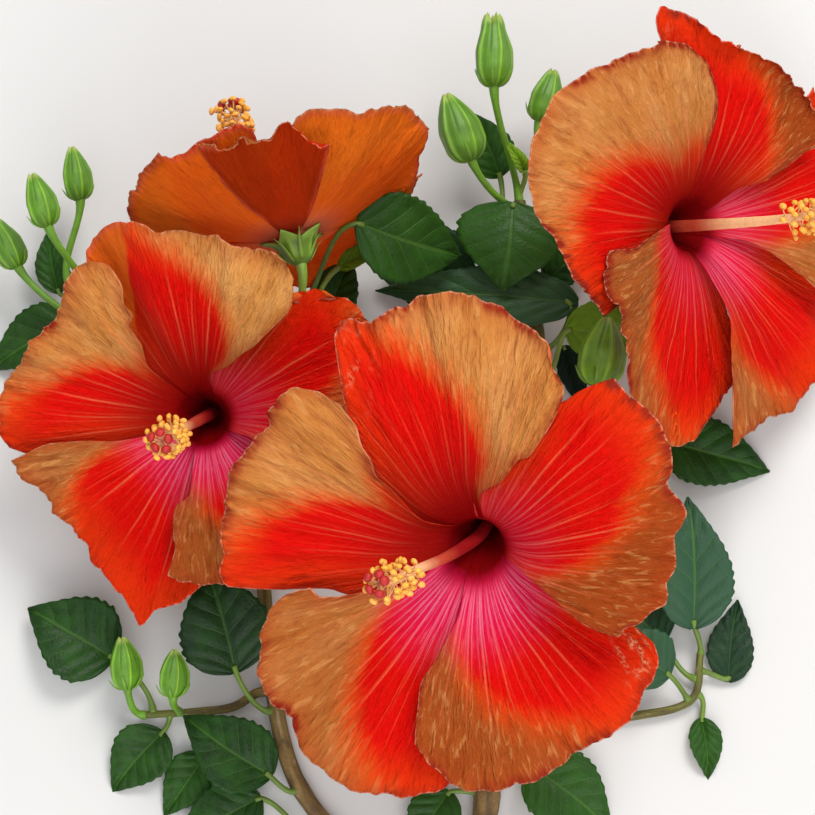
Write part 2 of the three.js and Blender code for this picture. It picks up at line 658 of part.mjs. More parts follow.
// The calyx: a five-pointed cup round the foot of the petals, its bracts and its stalk
function calyx(bloom) {
  const frame = bloomFrame(bloom);
  const toBloom = frame.clone().invert();
  const innerGap = tubeWall / 2 + seatGap;
  const lobed = (heights, radius) => {
    const rings = heights.map((height) => tubeRing(bloom, height, radius(height)));
    return rings[0].map((point, k) => (k % 2 === 0 ? rings[1][k] : point));
  };
  const outer = (height) => tubeRadius(shareAtHeight(height)) + innerGap + calyxWall;
  const inner = (height) => tubeRadius(shareAtHeight(height)) + innerGap;
  const cup = loft([
    tubePole(bloom, calyxFoot),
    tubeRing(bloom, calyxFoot + 1, 3.2),
    tubeRing(bloom, -tubeDepth, outer(-tubeDepth)),
    tubeRing(bloom, -21, outer(-21)),
    lobed([calyxMouth, calyxTip], (height) => outer(height) + 0.3),
    lobed([calyxMouth, calyxTip], inner),
    tubeRing(bloom, -22, inner(-22)),
    tubeRing(bloom, -tubeDepth - seatGap, inner(-tubeDepth)),
    tubePole(bloom, -tubeDepth - seatGap),
  ]);
  const bracts = Array.from({ length: bractCount }, (_, k) => {
    const [leanX, leanY] = leanAt(bloom, 0);
    return bract((k + 0.5) * bractTurn, 3.4, calyxFoot + 1.4, bractLength, 0.55)
      .translate(leanX, leanY, 0);
  });
  const foot = tubePole(bloom, calyxFoot + 1.5)[0].applyMatrix4(frame);
  const axis = vector(bloom.axis).normalize();
  const stalk = tube(stalkCurve(bloom, foot, axis),
    (share) => pedicelRadius * (0.85 + 0.35 * share), 5, 5).applyMatrix4(toBloom);
  return fuse([cup, stalk, ...bracts]);
}

const petalColours = {
  front: colours.petalFront,
  left: colours.petalLeft,
  right: colours.petalRight,
  back: colours.petalBack,
};
Object.entries(blooms).forEach(([name, bloom]) => {
  const frame = bloomFrame(bloom);
  addPiece(`bloom_${name}_petals`, corolla(bloom), petalColours[name], frame);
  addPiece(`bloom_${name}_column`, column(bloom), colours.column, frame);
  addPiece(`bloom_${name}_calyx`, calyx(bloom), colours.calyx, frame);
});

// Buds

function pointing(heading, rise) {
  const level = Math.cos(rise * degrees);
  return new THREE.Vector3(level * Math.cos(heading * degrees), level * Math.sin(heading * degrees),
    Math.sin(rise * degrees));
}

// A ribbed bud that comes to a point, with its bracts and its stalk
function budBody(bud) {
  const axis = pointing(bud.heading, bud.rise);
  const frame = new THREE.Matrix4().makeRotationFromQuaternion(
    new THREE.Quaternion().setFromUnitVectors(new THREE.Vector3(0, 0, 1), axis));
  frame.setPosition(...bud.foot);
  const outline = [[0.25, 0.02], [0.48, 0.22], [0.48, 0.5], [0.28, 0.8]];
  const ribDepth = 0.08;
  const ring = ([radius, share]) => Array.from({ length: 10 }, (_, k) => {
    const angle = (k / 10) * 2 * Math.PI;
    const out = radius * bud.width * (k % 2 === 0 ? 1 : 1 - ribDepth);
    return new THREE.Vector3(out * Math.cos(angle), out * Math.sin(angle), share * bud.length);
  });
  const body = loft([
    [new THREE.Vector3(0, 0, 0)], ...outline.map(ring), [new THREE.Vector3(0, 0, bud.length)]]);
  const bracts = Array.from({ length: bractCount }, (_, k) => bract(
    (k + 0.5) * bractTurn, 0.2 * bud.width, 0.6, 0.42 * bud.length, 0.62));
  const foot = vector(bud.foot).addScaledVector(axis, 1.2);
  const stalk = tube(stalkCurve(bud, foot, axis),
    (share) => pedicelRadius * (0.8 + 0.3 * share), 5, 4);
  return fuse([...[body, ...bracts].map((piece) => piece.applyMatrix4(frame)), stalk]);
}

buds.forEach((bud) => addPiece(bud.name, budBody(bud), colours.bud));

// Leaves

// A blade's half width along its length as a share of its full width
function bladeHalfWidth(t) {
  return through([[0, 0.1], [0.12, 0.36], [0.34, 0.5], [0.6, 0.4], [0.85, 0.17], [1, 0.02]], t);
}

function blade(leaf) {
  const foot = vector(leaf.foot);
  const forward = pointing(leaf.heading, leaf.rise);
  const level = new THREE.Vector3(0, 0, 1).cross(forward).normalize();
  const side = level.applyAxisAngle(forward, leaf.roll * degrees);
  const up = forward.clone().cross(side);
  const floorClearance = leafThickness / 2 + 0.05;
  return sheet((u, v) => {
    const offset = 2 * u - 1;
    const half = bladeHalfWidth(v) * leaf.width;
    const fold = leaf.fold * degrees;
    const point = foot.clone()
      .addScaledVector(forward, v * leaf.length)
      .addScaledVector(side, offset * half * Math.cos(fold))
      .addScaledVector(up, Math.abs(offset) * half * Math.sin(fold)
        + leaf.arch * Math.sin(Math.PI * v));
    point.z = Math.max(point.z, floorClearance);
    return point;
  }, 2, 5, leafThickness);
}

function leafBody(leaf) {
  const forward = pointing(leaf.heading, leaf.rise);
  const arrival = vector(leaf.foot).addScaledVector(forward, 0.06 * leaf.length);
  arrival.z += 0.19 * leaf.arch;
  const stalk = tube(stalkCurve(leaf, arrival, forward),
    (share) => petioleRadius * (1 - 0.2 * share), 4, 3);
  return fuse([blade(leaf), stalk]);
}

leaves.forEach((leaf) => addPiece(leaf.name, leafBody(leaf),
  brightLeaves.includes(leaf.name) ? colours.leafBright : colours.leaf));

export default branch;
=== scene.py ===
import math

import bpy
import numpy as np
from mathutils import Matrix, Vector


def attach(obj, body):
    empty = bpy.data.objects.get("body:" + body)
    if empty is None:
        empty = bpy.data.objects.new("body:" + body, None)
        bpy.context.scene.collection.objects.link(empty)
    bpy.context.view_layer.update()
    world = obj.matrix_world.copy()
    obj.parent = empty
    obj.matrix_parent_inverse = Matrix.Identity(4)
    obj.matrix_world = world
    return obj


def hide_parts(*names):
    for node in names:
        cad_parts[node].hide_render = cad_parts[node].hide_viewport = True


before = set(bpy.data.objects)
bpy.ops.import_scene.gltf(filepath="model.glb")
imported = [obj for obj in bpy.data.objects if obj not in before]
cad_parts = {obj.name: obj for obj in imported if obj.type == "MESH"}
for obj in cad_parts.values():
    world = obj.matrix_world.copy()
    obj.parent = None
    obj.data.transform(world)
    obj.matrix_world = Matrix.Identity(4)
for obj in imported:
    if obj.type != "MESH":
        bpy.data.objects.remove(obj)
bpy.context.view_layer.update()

# A cut hibiscus branch lying on a pale table, seen from above.
# Lengths are millimetres and angles degrees, and toScene turns places into the frame's metres.
# Lights, table and the bumps of the materials are in metres.
millimetre = 0.001
frameShift = np.array([6.27, -37.7, 0.51])   # the frame's origin, counted in the numbers below


def toScene(points):
    return (np.asarray(points, float) - frameShift) * millimetre


# Camera, table and light

cameraSetup = {"place": (0, -187.1, 980.3), "elevation": 78, "lens": 120.5, "sensor": 36}
tableSetup = {"size": 6.0, "colour": (0.56, 0.555, 0.545), "roughness": 0.7}
lightSetup = {
    "sky": (0.95, 0.97, 1.0), "skyStrength": 0.68,
    "key": {"place": (0.4, 0.8, 1.25), "size": 0.75, "power": 18.5, "colour": (1.0, 0.98, 0.95)},
    "fill": {"place": (0.1, -0.4, 1.4), "size": 1.4, "power": 6, "colour": (0.95, 0.98, 1.0)},
    "front": {"place": (0.2, -1.3, 0.8), "size": 1.2, "power": 13, "colour": (1.0, 0.98, 0.96)},
}


def addCamera(setup):
    lens = bpy.data.cameras.new("camera")
    lens.lens = setup["lens"]
    lens.sensor_width = setup["sensor"]
    lens.clip_start = 0.02
    camera = bpy.data.objects.new("camera", lens)
    camera.location = toScene(setup["place"])
    camera.rotation_euler = (math.radians(90 - setup["elevation"]), 0, 0)
    bpy.context.collection.objects.link(camera)
    bpy.context.scene.camera = camera


def addAreaLight(name, setup):
    data = bpy.data.lights.new(name, "AREA")
    data.shape = "DISK"
    data.size = setup["size"]
    data.energy = setup["power"]
    data.color = setup["colour"]
    light = bpy.data.objects.new(name, data)
    light.location = setup["place"]
    light.rotation_euler = (-Vector(setup["place"])).to_track_quat("-Z", "Y").to_euler()
    bpy.context.collection.objects.link(light)


def addSky(setup):
    world = bpy.data.worlds.new("studio")
    world.use_nodes = True
    background = world.node_tree.nodes["Background"]
    background.inputs["Color"].default_value = (*setup["sky"], 1)
    background.inputs["Strength"].default_value = setup["skyStrength"]
    bpy.context.scene.world = world
    bpy.context.scene.view_settings.view_transform = "Standard"


addCamera(cameraSetup)
addSky(lightSetup)
addAreaLight("keyLight", lightSetup["key"])
addAreaLight("fillLight", lightSetup["fill"])
addAreaLight("frontLight", lightSetup["front"])
print("camera and lights placed")


# Shapes

def through(knots, x):   # a curve through the knots that never overshoots them
    knotX, knotY = np.array(knots, float).T
    width = np.diff(knotX)
    slope = np.diff(knotY) / width
    tangent = np.zeros(len(knotX))
    tangent[0], tangent[-1] = slope[0], slope[-1]
    product = slope[:-1] * slope[1:]
    total = np.where(np.abs(slope[:-1] + slope[1:]) < 1e-12, 1, slope[:-1] + slope[1:])
    tangent[1:-1] = np.where(product > 0, 2 * product / total, 0)
    k = np.clip(np.searchsorted(knotX, x, side="right") - 1, 0, len(width) - 1)
    u = np.clip((x - knotX[k]) / width[k], 0, 1)
    rising = u * u * (3 - 2 * u)
    bend = width[k] * (tangent[k] * u * (1 - u) ** 2 - tangent[k + 1] * u * u * (1 - u))
    return knotY[k] * (1 - rising) + knotY[k + 1] * rising + bend


def smooth(x, start=0.0, end=1.0):
    c = np.clip((x - start) / (end - start), 0, 1)
    return c * c * (3 - 2 * c)


def softNoise(x, y, seed, around=None):   # smooth seeded noise from -1 to 1; x may run in a circle
    cellX, cellY = np.floor(x), np.floor(y)
    u, v = smooth(x - cellX), smooth(y - cellY)

    def corner(dx, dy):
        column = cellX + dx if around is None else (cellX + dx) % around
        wild = np.sin(column * 127.1 + (cellY + dy) * 311.7 + seed * 74.7) * 43758.5453
        return (wild - np.floor(wild)) * 2 - 1

    low = corner(0, 0) * (1 - u) + corner(1, 0) * u
    high = corner(0, 1) * (1 - u) + corner(1, 1) * u
    return low * (1 - v) + high * v


def unit(vectors):
    return vectors / np.linalg.norm(vectors, axis=-1, keepdims=True)


def gridNormals(points):
    along = np.gradient(points, axis=0)
    across = np.gradient(points, axis=1)
    return unit(np.cross(across, along))


def makePiece(name, points, faces, marks=None, places=None, islands=None):
    # points in millimetres; faces as arrays of corners, one array for each number of corners;
    # marks are values on the points, places and islands are (u, v) on each face's corners
    mesh = bpy.data.meshes.new(name)
    counts = np.concatenate([np.full(len(f), f.shape[1]) for f in faces])
    corners = np.concatenate([f.ravel() for f in faces])
    mesh.vertices.add(len(points))
    mesh.vertices.foreach_set("co", toScene(points).astype(np.float32).ravel())
    mesh.loops.add(len(corners))
    mesh.loops.foreach_set("vertex_index", corners.astype(np.int32))
    mesh.polygons.add(len(counts))
    starts = np.concatenate([[0], np.cumsum(counts)[:-1]])
    mesh.polygons.foreach_set("loop_start", starts.astype(np.int32))
    mesh.update(calc_edges=True)
    for key, values in (marks or {}).items():
        layer = mesh.attributes.new(key, "FLOAT", "POINT")
        layer.data.foreach_set("value", np.asarray(values, np.float32).ravel())
    if islands is not None:
        layer = mesh.uv_layers.new(name="OFBake")
        layer.data.foreach_set("uv", islands.astype(np.float32).ravel())
    if places is not None:
        layer = mesh.uv_layers.new(name="place")
        layer.data.foreach_set("uv", places.astype(np.float32).ravel())
    mesh.validate()
    mesh.shade_smooth()
    piece = bpy.data.objects.new(name, mesh)
    bpy.context.collection.objects.link(piece)
    return piece


def sheetMesh(middle, thickness, wrapped=False):
    # a closed thin sheet about a grid of points: its points, faces, places and islands
    rows, columns = middle.shape[:2]
    if wrapped:
        normals = gridNormals(np.concatenate([middle[:, -1:], middle, middle[:, :1]], 1))[:, 1:-1]
    else:
        normals = gridNormals(middle)
    offset = normals * (thickness / 2)[..., None]
    points = np.concatenate([(middle + offset).reshape(-1, 3), (middle - offset).reshape(-1, 3)])
    half = rows * columns
    index = np.arange(half).reshape(rows, columns)
    if wrapped:
        after = np.roll(index, -1, axis=1)
        top = np.stack([index[:-1], after[:-1], after[1:], index[1:]], -1).reshape(-1, 4)
        first = np.stack([index[0], index[0] + half, after[0] + half, after[0]], -1)
        last = np.stack([after[-1], after[-1] + half, index[-1] + half, index[-1]], -1)
        return points, [np.concatenate([top, top[:, ::-1] + half, first, last])], None, None
    a, b, c, d = index[:-1, :-1], index[:-1, 1:], index[1:, 1:], index[1:, :-1]
    top = np.stack([a, b, c, d], -1).reshape(-1, 4)
    ring = np.concatenate([index[0, :-1], index[:-1, -1], index[-1, :0:-1], index[:0:-1, 0]])
    after = np.roll(ring, -1)
    rim = np.stack([ring, ring + half, after + half, after], -1)
    faces = np.concatenate([top, top[:, ::-1] + half, rim])
    u = np.tile(np.linspace(0, 1, columns), rows)
    v = np.repeat(np.linspace(0, 1, rows), columns)
    flat = np.stack([u, v], -1)
    place = np.concatenate([flat, flat])[faces]
    left = flat * [0.48, 0.98] + [0.01, 0.01]
    island = np.concatenate([left, left + [0.5, 0]])[faces]
    island[2 * len(top):] = np.concatenate([left, left])[rim]
    return points, [faces], place, island


def evenly(points, count):   # the same line with its points spread evenly along it
    steps = np.linalg.norm(np.diff(points, axis=0), axis=1)
    length = np.concatenate([[0], np.cumsum(steps)])
    at = np.linspace(0, length[-1], count)
    return np.stack([np.interp(at, length, points[:, k]) for k in range(3)], -1)


def splineThrough(knots, count):   # a centripetal spline through the knots
    knots = np.array(knots, float)
    padded = np.concatenate([[2 * knots[0] - knots[1]], knots, [2 * knots[-1] - knots[-2]]])
    line = []
    for k in range(len(knots) - 1):
        p0, p1, p2, p3 = padded[k:k + 4]
        d0, d1, d2 = [np.linalg.norm(q - p) ** 0.5 for p, q in ((p0, p1), (p1, p2), (p2, p3))]
        start = ((p1 - p0) / d0 - (p2 - p0) / (d0 + d1) + (p2 - p1) / d1) * d1
        end = ((p2 - p1) / d1 - (p3 - p1) / (d1 + d2) + (p3 - p2) / d2) * d1
        t = np.linspace(0, 1, 40, endpoint=k == len(knots) - 2)[:, None]
        line.append(p1 + start * t + (-3 * p1 + 3 * p2 - 2 * start - end) * t ** 2
                    + (2 * p1 - 2 * p2 + start + end) * t ** 3)
    return evenly(np.concatenate(line), count)


def tubeFrames(line):   # tangent, side and rise along a line, carried without twisting
    tangent = unit(np.gradient(line, axis=0))
    side = np.empty_like(line)
    carried = np.cross([tangent[0][2], tangent[0][0], tangent[0][1]], tangent[0])
    for k, forward in enumerate(tangent):
        carried = carried - forward * np.dot(carried, forward)
        carried = carried / np.linalg.norm(carried)
        side[k] = carried
    return tangent, side, np.cross(tangent, side)


def wrappedMesh(grid):   # rings of points joined into one closed body
    rings, sides = grid.shape[:2]
    points = np.concatenate([grid.reshape(-1, 3), grid[:1].mean(1), grid[-1:].mean(1)])
    index = np.arange(rings * sides).reshape(rings, sides)
    after = np.roll(index, -1, axis=1)
    walls = np.stack([index[:-1], after[:-1], after[1:], index[1:]], -1).reshape(-1, 4)
    foot = np.stack([after[0], index[0], np.full(sides, rings * sides)], -1)
    tip = np.stack([index[-1], after[-1], np.full(sides, rings * sides + 1)], -1)
    return points, [walls, np.concatenate([foot, tip])]


def tubeGrid(line, radius, sides):
    # rings of a tube; radius is one value for each ring or for each point of each ring
    tangent, side, rise = tubeFrames(line)
    angle = np.linspace(0, 2 * np.pi, sides, endpoint=False)
    radius = np.asarray(radius, float).reshape(len(line), -1)
    return (line[:, None] + side[:, None] * (radius * np.cos(angle))[..., None]
            + rise[:, None] * (radius * np.sin(angle))[..., None])


def tubeMesh(line, radius, sides):
    return wrappedMesh(tubeGrid(line, radius, sides))


def joinMeshes(parts):   # several (points, faces, marks) as one
    points, faces, marks, start = [], {}, {}, 0
    for part in parts:
        points.append(part[0])
        for f in part[1]:
            faces.setdefault(f.shape[1], []).append(f + start)
        for key, values in (part[2] if len(part) > 2 else {}).items():
            marks.setdefault(key, []).append(np.broadcast_to(values, len(part[0])))
        start += len(part[0])
    joined = {key: np.concatenate(values) for key, values in marks.items()}
    return np.concatenate(points), [np.concatenate(f) for f in faces.values()], joined


# Materials

class Nodes:   # short ways to add and join the nodes of one material or group
    def __init__(self, tree):
        self.tree = tree

    def add(self, kind, settings=None, **inputs):
        node = self.tree.nodes.new(kind)
        for key, value in (settings or {}).items():
            setattr(node, key, value)
        for key, value in inputs.items():
            self.put(value, node.inputs[int(key[1:]) if key[1:].isdigit() else key.replace("_", " ")])
        return node

    def put(self, value, socket):
        if isinstance(value, bpy.types.NodeSocket):
            self.tree.links.new(value, socket)
        elif hasattr(socket, "default_value"):
            if isinstance(value, tuple) and len(value) == 3 and socket.type == "RGBA":
                value = (*value, 1)
            socket.default_value = value

    def math(self, operation, a, b=0.0, clamp=False):
        settings = {"operation": operation, "use_clamp": clamp}
        return self.add("ShaderNodeMath", settings, _0=a, _1=b).outputs[0]

    def times(self, a, b):
        return self.math("MULTIPLY", a, b)

    def plus(self, a, b, clamp=False):
        return self.math("ADD", a, b, clamp)

    def minus(self, a, b, clamp=False):
        return self.math("SUBTRACT", a, b, clamp)

    def larger(self, a, b):
        return self.math("MAXIMUM", a, b)

    def mix(self, factor, a, b, blend="MIX"):
        settings = {"data_type": "RGBA", "blend_type": blend}
        return self.add("ShaderNodeMix", settings, _0=factor, _6=a, _7=b).outputs[2]

    def layers(self, colour, look, masks):   # a look's tints laid over a colour, each by its mask
        for mask, tint in masks:
            colour = self.mix(mask, colour, look[tint])
        return colour

    def ramp(self, value, start, end, low=0.0, high=1.0):
        settings = {"interpolation_type": "SMOOTHSTEP"}
        return self.add("ShaderNodeMapRange", settings, Value=value, From_Min=start, From_Max=end,
                        To_Min=low, To_Max=high).outputs[0]

    def mark(self, name):
        return self.add("ShaderNodeAttribute", {"attribute_name": name}).outputs["Fac"]

    def place(self):
        return self.add("ShaderNodeUVMap", {"uv_map": "place"}).outputs[0]

    def noise(self, vector, scale, detail=2.0, rough=0.5):
        return self.add("ShaderNodeTexNoise", None, Vector=vector, Scale=scale, Detail=detail,
                        Roughness=rough).outputs[0]

    def stretched(self, vector, scale):
        return self.add("ShaderNodeMapping", None, Vector=vector, Scale=scale).outputs[0]

    def streaks(self, place, across, along, detail=2.0, rough=0.5):   # noise drawn out over a place
        return self.noise(self.stretched(place, (across, along, 1.0)), 1.0, detail, rough)

    def bump(self, surface, height, size):   # size is its strength and its depth
        node = self.add("ShaderNodeBump", None, Strength=size[0], Distance=size[1], Height=height)
        self.put(node.outputs[0], surface.inputs["Normal"])
        return node.outputs[0]

    def group(self, tree, **inputs):
        node = self.add("ShaderNodeGroup", {"node_tree": tree})
        for key, value in inputs.items():
            self.put(value, node.inputs[key])
        return node


def newGroup(name, inputs, outputs):
    tree = bpy.data.node_groups.new(name, "ShaderNodeTree")
    for key, kind, value in inputs:
        socket = tree.interface.new_socket(key, in_out="INPUT", socket_type="NodeSocket" + kind)
        if value is not None:
            socket.default_value = value
    for key, kind in outputs:
        tree.interface.new_socket(key, in_out="OUTPUT", socket_type="NodeSocket" + kind)
    nodes = Nodes(tree)
    return tree, nodes, nodes.add("NodeGroupInput").outputs, nodes.add("NodeGroupOutput").inputs


def lineGroup():
    # lines that fan out, Count of them to each unit of the place's first number, Width millimetres
    # wide where a unit measures Span millimetres. Each has its own strength and its own end.
    tree, nodes, given, out = newGroup("fanLines", [
        ("Place", "Vector", None), ("Span", "Float", 40.0), ("Count", "Float", 4.0),
        ("Width", "Float", 0.4), ("Wander", "Float", 0.35), ("End", "Float", 0.8)], [("Line", "Float")])
    split = nodes.add("ShaderNodeSeparateXYZ", None, Vector=given["Place"])
    drift = nodes.streaks(given["Place"], 1.6, 3.2, 1.0)
    wander = nodes.times(nodes.minus(drift, 0.5), given["Wander"])
    across = nodes.plus(nodes.times(split.outputs[0], given["Count"]), wander)
    chance = nodes.add("ShaderNodeTexWhiteNoise", {"noise_dimensions": "1D"},
                       W=nodes.math("FLOOR", across)).outputs[0]
    apart = nodes.math("ABSOLUTE", nodes.minus(nodes.math("FRACT", across), 0.5))
    distance = nodes.times(apart, nodes.math("DIVIDE", given["Span"], given["Count"]))
    line = nodes.minus(1.0, nodes.math("DIVIDE", distance, given["Width"]), clamp=True)
    past = nodes.minus(split.outputs[1], nodes.plus(given["End"], nodes.times(chance, 0.12)))
    line = nodes.times(line, nodes.ramp(past, 0.0, -0.28))
    strength = nodes.plus(0.35, nodes.times(chance, 0.65))
    nodes.put(nodes.times(line, strength), out["Line"])
    return tree


def mottleGroup():
    # soft blotches and fine grain, as a factor about one
    tree, nodes, given, out = newGroup("mottle", [
        ("Vector", "Vector", None), ("Blotch Scale", "Float", 60.0), ("Grain Scale", "Float", 900.0),
        ("Blotches", "Float", 0.2), ("Grain", "Float", 0.1)], [("Factor", "Float"), ("Grain", "Float")])
    blotch = nodes.noise(given["Vector"], given["Blotch Scale"], 3.0)
    grain = nodes.noise(given["Vector"], given["Grain Scale"], 2.0)
    soft = nodes.times(nodes.minus(blotch, 0.5), given["Blotches"])
    fine = nodes.times(nodes.minus(grain, 0.5), given["Grain"])
    nodes.put(nodes.plus(1.0, nodes.plus(soft, fine)), out["Factor"])
    nodes.put(grain, out["Grain"])
    return tree


fanLines = lineGroup()
mottle = mottleGroup()


def newMaterial(name, tint):
    material = bpy.data.materials.new(name)
    material.use_nodes = True
    material.diffuse_color = (*tint, 1)
    return material, Nodes(material.node_tree), material.node_tree.nodes["Principled BSDF"]


def paint(nodes, surface, colour, roughness):
    nodes.put(colour, surface.inputs["Base Color"])
    nodes.put(roughness, surface.inputs["Roughness"])


def letLightThrough(nodes, surface, share, colour, normal):
    glow = nodes.add("ShaderNodeBsdfTranslucent", None, Color=colour, Normal=normal)
    both = nodes.add("ShaderNodeMixShader", None, _0=share, _1=surface.outputs[0], _2=glow.outputs[0])
    nodes.put(both.outputs[0], nodes.tree.nodes["Material Output"].inputs["Surface"])


def mottled(nodes, values):   # the mottle group, laid over the whole piece
    vector = nodes.add("ShaderNodeTexCoord").outputs["Object"]
    return nodes.group(mottle, Vector=vector, **values).outputs


# Some of these colours are painted light: the creases' valleys, the upper petals' dark red eye and the
# dimmed backs are painted shade, the throat is partly painted shade, the pale ridges and flecks are painted
# highlights, and the rim's pale line is partly one
petalLook = {
    "red": (0.68, 0.003, 0.001), "orange": (0.70, 0.055, 0.003), "gold": (0.68, 0.29, 0.065),
    "brown": (0.32, 0.045, 0.004), "tan": (0.76, 0.38, 0.12), "rimTint": (0.40, 0.05, 0.010),
    "creaseShade": (0.27, 0.035, 0.006), "eye": (0.66, 0.006, 0.070), "eyeStreak": (0.85, 0.30, 0.44),
    "deep": (0.24, 0.0006, 0.0005), "throat": (0.22, 0.0006, 0.002), "vein": (0.94, 0.22, 0.09),
    "rim": (0.85, 0.38, 0.25), "rimShade": (0.28, 0.02, 0.008), "fleckHighlight": (0.96, 0.42, 0.20),
    "under": (0.84, 0.15, 0.010), "underFoot": (0.86, 0.26, 0.12), "underShade": (0.42, 0.022, 0.001),
    "underRim": (0.80, 0.13, 0.06), "roughness": 0.55, "sheen": 0.05, "glow": 0.22, "glowGamma": 1.0,
    "veins": 4.2, "veinWidth": 0.5, "forks": 9.0, "forkWidth": 0.32, "veinStrength": 0.6,
    "rimShadeWidth": 3.4, "rimHighlightWidth": 0.45, "bump": (0.8, 0.0013),
}
# the back bloom's look: its back painted lighter and its glow brightened, as painted light from behind
backPetalLook = {"under": (0.90, 0.18, 0.010), "glow": 0.5, "glowGamma": 0.55}   # light from behind


def petalMaterial(name, look):
    material, nodes, surface = newMaterial(name, look["red"])
    place = nodes.place()
    along = nodes.add("ShaderNodeSeparateXYZ", None, Vector=place).outputs[1]
    # deep carries the painted shade that turns the upper petals' eye dark red
    gold, eye, deep = nodes.mark("gold"), nodes.mark("eye"), nodes.mark("deep")
    creaseShade, inset, under = nodes.mark("creaseShade"), nodes.mark("inset"), nodes.mark("under")
    span, band, fleckHighlight = nodes.mark("span"), nodes.mark("band"), nodes.mark("fleckHighlight")
    fine = nodes.streaks(place, 38.0, 11.0, 3.0, 0.6)
    crinkle = nodes.add("ShaderNodeTexNoise", None, Vector=nodes.stretched(place, (22.0, 15.0, 1.0)),
                        Scale=1.0, Detail=2.0, Roughness=0.55, Distortion=0.7).outputs[0]
    # the gold and its ragged start
    ragged = nodes.plus(gold, nodes.times(nodes.minus(fine, 0.5), 0.6))
    blotch = nodes.streaks(place, 3.0, 4.0, 2.0)
    golden = nodes.mix(nodes.ramp(blotch, 0.4, 0.65, 0.0, 0.6), look["gold"], look["tan"])
    # tone, from brown to gold, is partly the petal's own colour and partly painted light and shade
    golden = nodes.mix(nodes.mark("toneAndLight"), look["brown"], golden)
    golden = nodes.mix(nodes.times(nodes.ramp(inset, 7.0, 0.5), 0.4), golden, look["rimTint"])
    # creases, with painted shade in their valleys and a painted highlight on their ridges
    valleyShade = nodes.plus(nodes.times(nodes.ramp(creaseShade, 0.15, 0.8), 0.45),
                        nodes.ramp(crinkle, 0.45, 0.3, 0.0, 0.5), clamp=True)
    shade = nodes.times(valleyShade, nodes.ramp(gold, 0.0, 0.6, 0.07, 0.6))
    light = nodes.times(nodes.ramp(crinkle, 0.52, 0.7), nodes.ramp(gold, 0.0, 0.6, 0.0, 0.35))
    # veins
    lines = nodes.group(fanLines, Place=place, Span=span, Count=look["veins"],
                        Width=look["veinWidth"], End=0.86).outputs[0]
    forks = nodes.group(fanLines, Place=place, Span=span, Count=look["forks"],
                        Width=look["forkWidth"], End=0.88).outputs[0]
    vein = nodes.larger(lines, nodes.times(forks, 0.4))
    shown = nodes.times(nodes.times(vein, nodes.ramp(along, 0.4, 0.58)), look["veinStrength"])
    # pale streaks and rays in the pink eye, and flecks of painted highlight on a crumpled corner
    pale = nodes.times(nodes.ramp(fine, 0.52, 0.7), nodes.times(eye, 0.45))
    rays = nodes.times(nodes.larger(lines, forks), nodes.times(eye, 0.65))
    pale = nodes.times(nodes.larger(pale, rays), nodes.ramp(along, 0.36, 0.46))
    highlightFlecks = nodes.times(nodes.ramp(nodes.streaks(place, 32.0, 58.0, 2.0), 0.42, 0.6), fleckHighlight)
    # the rim's dark band, and the pale line along its edge, partly its own pale margin and partly a painted
    # highlight
    patchy = nodes.streaks(place, 22.0, 22.0, 2.0)
    dark = nodes.times(nodes.ramp(inset, look["rimShadeWidth"], 0.4), nodes.ramp(patchy, 0.3, 0.6))
    dark = nodes.times(nodes.times(dark, band), nodes.ramp(along, 0.5, 0.8))
    line = nodes.times(nodes.ramp(inset, look["rimHighlightWidth"], 0.15), nodes.ramp(patchy, 0.6, 0.4))
    line = nodes.times(line, nodes.ramp(along, 0.7, 0.9))
    # the front, red and more orange towards its rim, and the back
    colour = nodes.layers(look["red"], look, [
        (nodes.ramp(ragged, 0.0, 0.5), "orange"), (nodes.ramp(inset, 15.0, 1.5, 0.0, 0.5), "orange")])
    colour = nodes.mix(nodes.ramp(ragged, 0.1, 0.85), colour, golden)
    colour = nodes.layers(colour, look, [
        (shade, "creaseShade"), (light, "tan"), (shown, "vein"), (deep, "deep"), (eye, "eye"),
        # the throat: its own dark red, deepened down the tube as painted shade
        (pale, "eyeStreak"), (nodes.ramp(along, 0.43, 0.32), "throat"),
        (nodes.times(highlightFlecks, 0.6), "fleckHighlight"), (dark, "rimShade"), (nodes.times(line, 0.6), "rim")])
    # the back, with painted shade in its creases and a darker painted shade where dim is set
    back = nodes.layers(look["under"], look, [
        (nodes.times(valleyShade, 0.45), "creaseShade"), (nodes.ramp(along, 0.56, 0.3), "underFoot"),
        (nodes.times(vein, 0.4), "vein"), (nodes.mark("dim"), "underShade"),
        (nodes.times(nodes.ramp(inset, 2.2, 0.6), 0.6), "underRim"), (dark, "rimShade")])
    colour = nodes.mix(under, colour, back)
    paint(nodes, surface, colour, look["roughness"])
    # crinkles, streaks, ripples, veins and flecks in the surface, deeper towards the rim
    rough = nodes.times(nodes.ramp(along, 0.5, 0.85, 0.15), crinkle)
    ripple = nodes.times(nodes.ramp(along, 0.45, 0.8, 0.2), nodes.streaks(place, 52.0, 30.0, 3.0, 0.6))
    height = nodes.plus(nodes.times(rough, 1.5), nodes.times(fine, 0.4))
    height = nodes.plus(height, nodes.times(ripple, 1.3))
    height = nodes.plus(height, nodes.times(vein, 0.2))
    height = nodes.plus(height, highlightFlecks)
    normal = nodes.bump(surface, height, look["bump"])
    surface.inputs["Specular IOR Level"].default_value = look["sheen"]
    lit = nodes.add("ShaderNodeGamma", None, Color=colour, Gamma=look["glowGamma"]).outputs[0]
    letLightThrough(nodes, surface, look["glow"], lit, normal)
    return material


